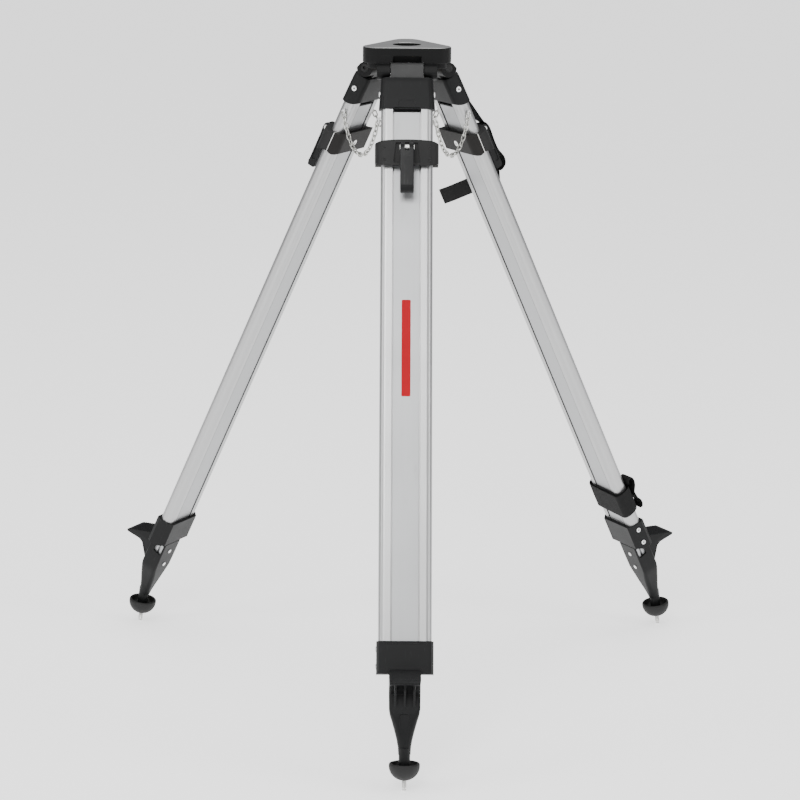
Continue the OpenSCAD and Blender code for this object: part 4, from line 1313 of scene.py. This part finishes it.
@dataclass
class Straps:
    """The webbing on the right leg."""

    shop: Workshop
    leg: Leg
    thick: float = 1.6
    wide: float = 26.0

    def ribbon(self, name: str, middle: Sequence[Vector], across: Callable[[int], Vector], wide: float,
               thick: float | None = None) -> tuple[bpy.types.Object, float]:
        """Makes a strip of webbing along a line.

        Args:
            name: the piece's name.
            middle: points of its middle line, in leg coordinates as x, y, z.
            across: unit vector across the strip at a point's number.
            wide: its width.
            thick: its thickness.

        Returns:
            The object, and the strip's length in metres.
        """
        rows, columns = len(middle), 8
        bm = bmesh.new()
        layer = bm.loops.layers.uv.new("UVMap")
        bmesh.ops.create_grid(bm, x_segments=columns, y_segments=rows - 1, size=0.5, calc_uvs=True)
        run = [0.0]
        for a, b in zip(middle, middle[1:]):
            run.append(run[-1] + (b - a).length)
        spot = {v: (round((v.co.x + 0.5) * columns), round((v.co.y + 0.5) * (rows - 1))) for v in bm.verts}
        for face in bm.faces:
            for loop in face.loops:
                i, j = spot[loop.vert]
                loop[layer].uv = (i / columns * wide * MM, run[j] * MM)
        for vert, (i, j) in spot.items():
            crown = 0.25 * (1 - (2 * i / columns - 1) ** 2)
            ahead = middle[min(j + 1, rows - 1)] - middle[max(j - 1, 0)]
            lift = across(j).cross(ahead).normalized() * crown
            vert.co = middle[j] + across(j) * wide * (i / columns - 0.5) + lift
        bmesh.ops.solidify(bm, geom=bm.faces[:], thickness=self.thick if thick is None else thick)
        bmesh.ops.recalc_face_normals(bm, faces=bm.faces[:])
        shape = Shape()
        shape.bm.free()
        shape.bm = bm
        shape.round(0.35, 2, 60)
        return shape.piece(name, self.leg.frame.matrix, 40.0), run[-1] * MM

    def side_line(self, points: Sequence[Pair], step: float = 3.0) -> list[Vector]:
        """A smooth line through points (n, s) in the leg's middle."""
        return smooth_path([Plane.SIDE.point(n, s, 0.0) for n, s in points], step)

    def build(self) -> None:
        """Makes the shoulder strap, its keeper, the tie strap and the band."""
        flat = lambda _: Vector((1, 0, 0))
        upper = self.side_line([(15.2, 50), (17.0, 60), (23.5, 74), (32.4, 114), (35.0, 124.4)])
        thing, length = self.ribbon("strap_upper", upper, flat, self.wide)
        self.bent(thing, (17, 60), (32.4, 114), "leg", "lower", ["shoulder_strap"])
        lever_s = self.leg.pin[1] + 71
        keeper = self.side_line([(36.9, 126.0), (39.8, 133), (40.6, 142), (39.9, 154), (39.6, 165), (40.2, 178), (43.8, 190), (45.0, 197),
                                 (42.0, 206), (33.0, 211.0), (28.4, 210.6)], 2.0)
        thing, length = self.ribbon("strap_keeper_loop", keeper, flat, self.wide)
        self.shop.finish(thing, self.shop.finishes.web, self.leg.body("lever"), ["strap_keeper"])
        lower = self.side_line([(27.0, lever_s + 3.6), (20.0, lever_s + 24), (15.6, lever_s + 55), (14.8, lever_s + 110),
                                (14.8, 500), (14.8, 700), (14.6, 812), (14.8, 827)], 6.0)
        thing, length = self.ribbon("strap_lower", lower, flat, self.wide)
        self.bent(thing, (27.0, lever_s + 3.6), (15.6, lever_s + 55), "lower", "leg", [])
        self.tie()
        self.band()

    def bent(self, thing: bpy.types.Object, start: Pair, end: Pair, a: str, b: str,
             nodes: list[str]) -> None:
        """Finishes a strap that goes from one body to another."""
        leg = self.leg
        self.shop.paint(thing, self.shop.finishes.web)
        leg.body(a)
        leg.body(b)
        tuple(leg.frame.at(0, *start))
        tuple(leg.frame.at(0, *end))
        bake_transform(thing)
        if nodes:
            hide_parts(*nodes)
        LOG.info("piece %s", thing.name)

    def tie(self) -> None:
        """The tie strap that stands out beside the leg."""
        s = self.leg.pin[1] + 82 + self.wide / 2
        points = [(-13, 12.7), (10, 12.7), (30, 12.7), (38.5, 11.0), (42.6, 4.0), (47.5, -3.5), (60, -15.5),
                  (74, -28.0), (90, -38.6)]
        path = smooth_path([Vector((t, -n, -s - max(0.0, t - 42) * 0.2)) for t, n in points], 2.5)
        thing, length = self.ribbon("strap_tie", path, lambda _: Vector((0, 0, 1)), self.wide)
        self.shop.finish(thing, self.shop.finishes.web, self.leg.body("leg"), ["tie_strap"])

    def band(self) -> None:
        """The band wound twice round the rails, with the strap's end looped over it."""
        tall = 43.0
        half, n = self.leg.half_w, self.leg.rail_n
        rails = fillet([(-half, -n, 9.0), (half, -n, 9.0), (half, n, 9.0), (-half, n, 9.0)], 8)
        count = len(rails)
        path = []
        for k in range(2 * count + 4):
            t, y = rails[(k + count // 2 + 5) % count]
            lap = k / count
            away = Vector((t / half, y / n * 0.7)).normalized()
            out = 1.6 + 2.4 * lap + 0.7 * math.sin(5 * lap) + (1.6 * max(0.0, -t / half) if lap > 1 else 0.0)
            slant = 3.0 * y / n * (1 if lap > 1 else 0.4) + 2.0 * t / half
            path.append(Vector((t + away.x * out, -(y + away.y * out), -(849.0 + slant * -1.0))))
        self.wrap("strap_band", path, Vector((0, 0, 1)), tall, ["band_strap"])
        side = Vector((1, 0, 0))
        for name, t, points in (
                ("strap_fold", -31.0, ((17.6, 848), (19.6, 840), (24.6, 831), (26.4, 822), (23.5, 815.5), (17.0, 816.5), (14.4, 824))),
                ("strap_tail", -30.0, ((19.4, 844), (21.4, 856), (24.6, 862), (25.8, 869), (22.6, 875.5), (17.8, 874.5))),
                ("strap_loop", 0.0, ((17.0, 838), (18.4, 830), (20.4, 822), (18.8, 816), (16.4, 815)))):
            line = smooth_path([Plane.SIDE.point(a, b, t) for a, b in points], 2.0)
            self.wrap(name, line, side, self.wide, [])

    def wrap(self, name: str, path: Sequence[Vector], across: Vector, wide: float,
             nodes: list[str]) -> None:
        """Makes a strip of webbing that stays on the leg."""
        thing, length = self.ribbon(name, path, lambda _: across, wide)
        self.shop.finish(thing, self.shop.finishes.web, self.leg.body("leg"), nodes)


# ---- printed mark ----


@dataclass
class Stripe:
    """The plain red print on the front tube."""

    shop: Workshop
    leg: Leg
    s: tuple[float, float] = (372.0, 524.0)
    half: float = 7.0

    def build(self) -> None:
        """Prints one slim bar along the tube."""
        outline = box_outline(-self.half, self.half, *self.s, 2.0)
        made = Shape().prism(Plane.FACE, outline, self.leg.tube_n - 0.05, self.leg.tube_n + 0.06)
        self.leg.keep(made, "print", self.shop.finishes.print, "lower")


# ---- studio ----


@dataclass
class Studio:
    """Floor, lights and camera."""

    lens: float = 125.79
    sensor: float = 36.0
    eye: tuple[float, float, float] = (-0.0588, -4.4300, 0.5223)
    yaw: float = 0.69
    pitch: float = 13.98
    roll: float = 0.56

    def build(self, low: Vector) -> None:
        """Sets the studio up.

        Args:
            low: lowest corner of the tripod's box.
        """
        self.floor(low.z)
        self.lights()
        self.camera()

    def floor(self, height: float) -> None:
        """A plain pale floor."""
        bm = bmesh.new()
        bmesh.ops.create_grid(bm, x_segments=1, y_segments=1, size=14.0)
        mesh = bpy.data.meshes.new("floor")
        bm.to_mesh(mesh)
        bm.free()
        mesh.transform(Matrix.Translation((0, 0, height)))
        thing = bpy.data.objects.new("floor", mesh)
        bpy.context.scene.collection.objects.link(thing)
        tree = ShaderTree("floor paint")
        tree.set(Base_Color=(0.95, 0.95, 0.95, 1.0), Roughness=0.8, Specular_IOR_Level=0.1,
                 Emission_Color=(1.0, 1.0, 1.0, 1.0), Emission_Strength=1.0)
        mesh.materials.append(tree.material)
        thing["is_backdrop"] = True

    def lamp(self, name: str, at: tuple[float, float, float], aim: tuple[float, float, float],
             size: tuple[float, float], power: float) -> None:
        """A soft rectangular lamp."""
        data = bpy.data.lights.new(name, "AREA")
        data.shape = "RECTANGLE"
        data.size, data.size_y = size
        data.energy = power
        thing = bpy.data.objects.new(name, data)
        spot = Vector(at)
        thing.matrix_world = Matrix.Translation(spot) @ (
            spot - Vector(aim)).to_track_quat("Z", "Y").to_matrix().to_4x4()
        bpy.context.scene.collection.objects.link(thing)

    def lights(self) -> None:
        """Soft light from all round, stronger from the upper left and the front."""
        world = bpy.data.worlds.new("studio air")
        world.use_nodes = True
        nodes, links = world.node_tree.nodes, world.node_tree.links
        back = nodes["Background"]
        back.inputs[1].default_value = 0.95
        look = nodes.new("ShaderNodeTexCoord")
        facing = nodes.new("ShaderNodeVectorMath")
        facing.operation = "DOT_PRODUCT"
        facing.inputs[1].default_value = (-0.1, -0.62, 0.78)
        ramp = nodes.new("ShaderNodeValToRGB")
        ramp.color_ramp.elements[0].position = 0.0
        ramp.color_ramp.elements[0].color = (0.3, 0.3, 0.31, 1.0)
        ramp.color_ramp.elements[1].position = 0.75
        ramp.color_ramp.elements[1].color = (1.0, 1.0, 1.0, 1.0)
        links.new(look.outputs["Generated"], facing.inputs[0])
        links.new(facing.outputs["Value"], ramp.inputs[0])
        links.new(ramp.outputs[0], back.inputs[0])
        bpy.context.scene.world = world
        aim = (0.0, 0.0, -0.4)
        self.lamp("key", (-0.9, -3.6, 2.4), aim, (2.2, 1.6), 90.0)
        self.lamp("left", (-3.2, -1.4, 1.2), aim, (1.2, 2.4), 34.0)
        self.lamp("right", (3.2, -1.6, 1.0), aim, (1.2, 2.4), 34.0)
        self.lamp("top", (0.3, 0.4, 2.8), aim, (2.2, 2.2), 40.0)

    def camera(self) -> None:
        """The camera."""
        yaw, pitch, roll = (math.radians(a) for a in (self.yaw, self.pitch, self.roll))
        ahead = Vector((math.sin(yaw) * math.cos(pitch), math.cos(yaw) * math.cos(pitch), -math.sin(pitch)))
        right = ahead.cross(Vector((0, 0, 1))).normalized()
        up = right.cross(ahead)
        side = right * math.cos(roll) + up * math.sin(roll)
        top = up * math.cos(roll) - right * math.sin(roll)
        data = bpy.data.cameras.new("camera")
        data.lens, data.sensor_width, data.clip_end = self.lens, self.sensor, 60.0
        thing = bpy.data.objects.new("camera", data)
        turn = Matrix((side, top, -ahead)).transposed().to_4x4()
        thing.matrix_world = Matrix.Translation(Vector(self.eye)) @ turn
        bpy.context.scene.collection.objects.link(thing)
        bpy.context.scene.camera = thing


def main() -> None:
    """Builds the tripod and its studio around the frame."""
    logging.basicConfig(level=logging.INFO, format="%(message)s")
    shop = Workshop(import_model())
    cad_low, cad_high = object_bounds()
    Studio().build(cad_low)
    Head(shop).build()
    legs = {name: Leg(shop, name) for name in LegName}
    for leg in legs.values():
        leg.build()
    Chains(shop, legs).build()
    Straps(shop, legs[LegName.RIGHT]).build()
    Stripe(shop, legs[LegName.FRONT]).build()


if __name__ == "__main__":
    main()
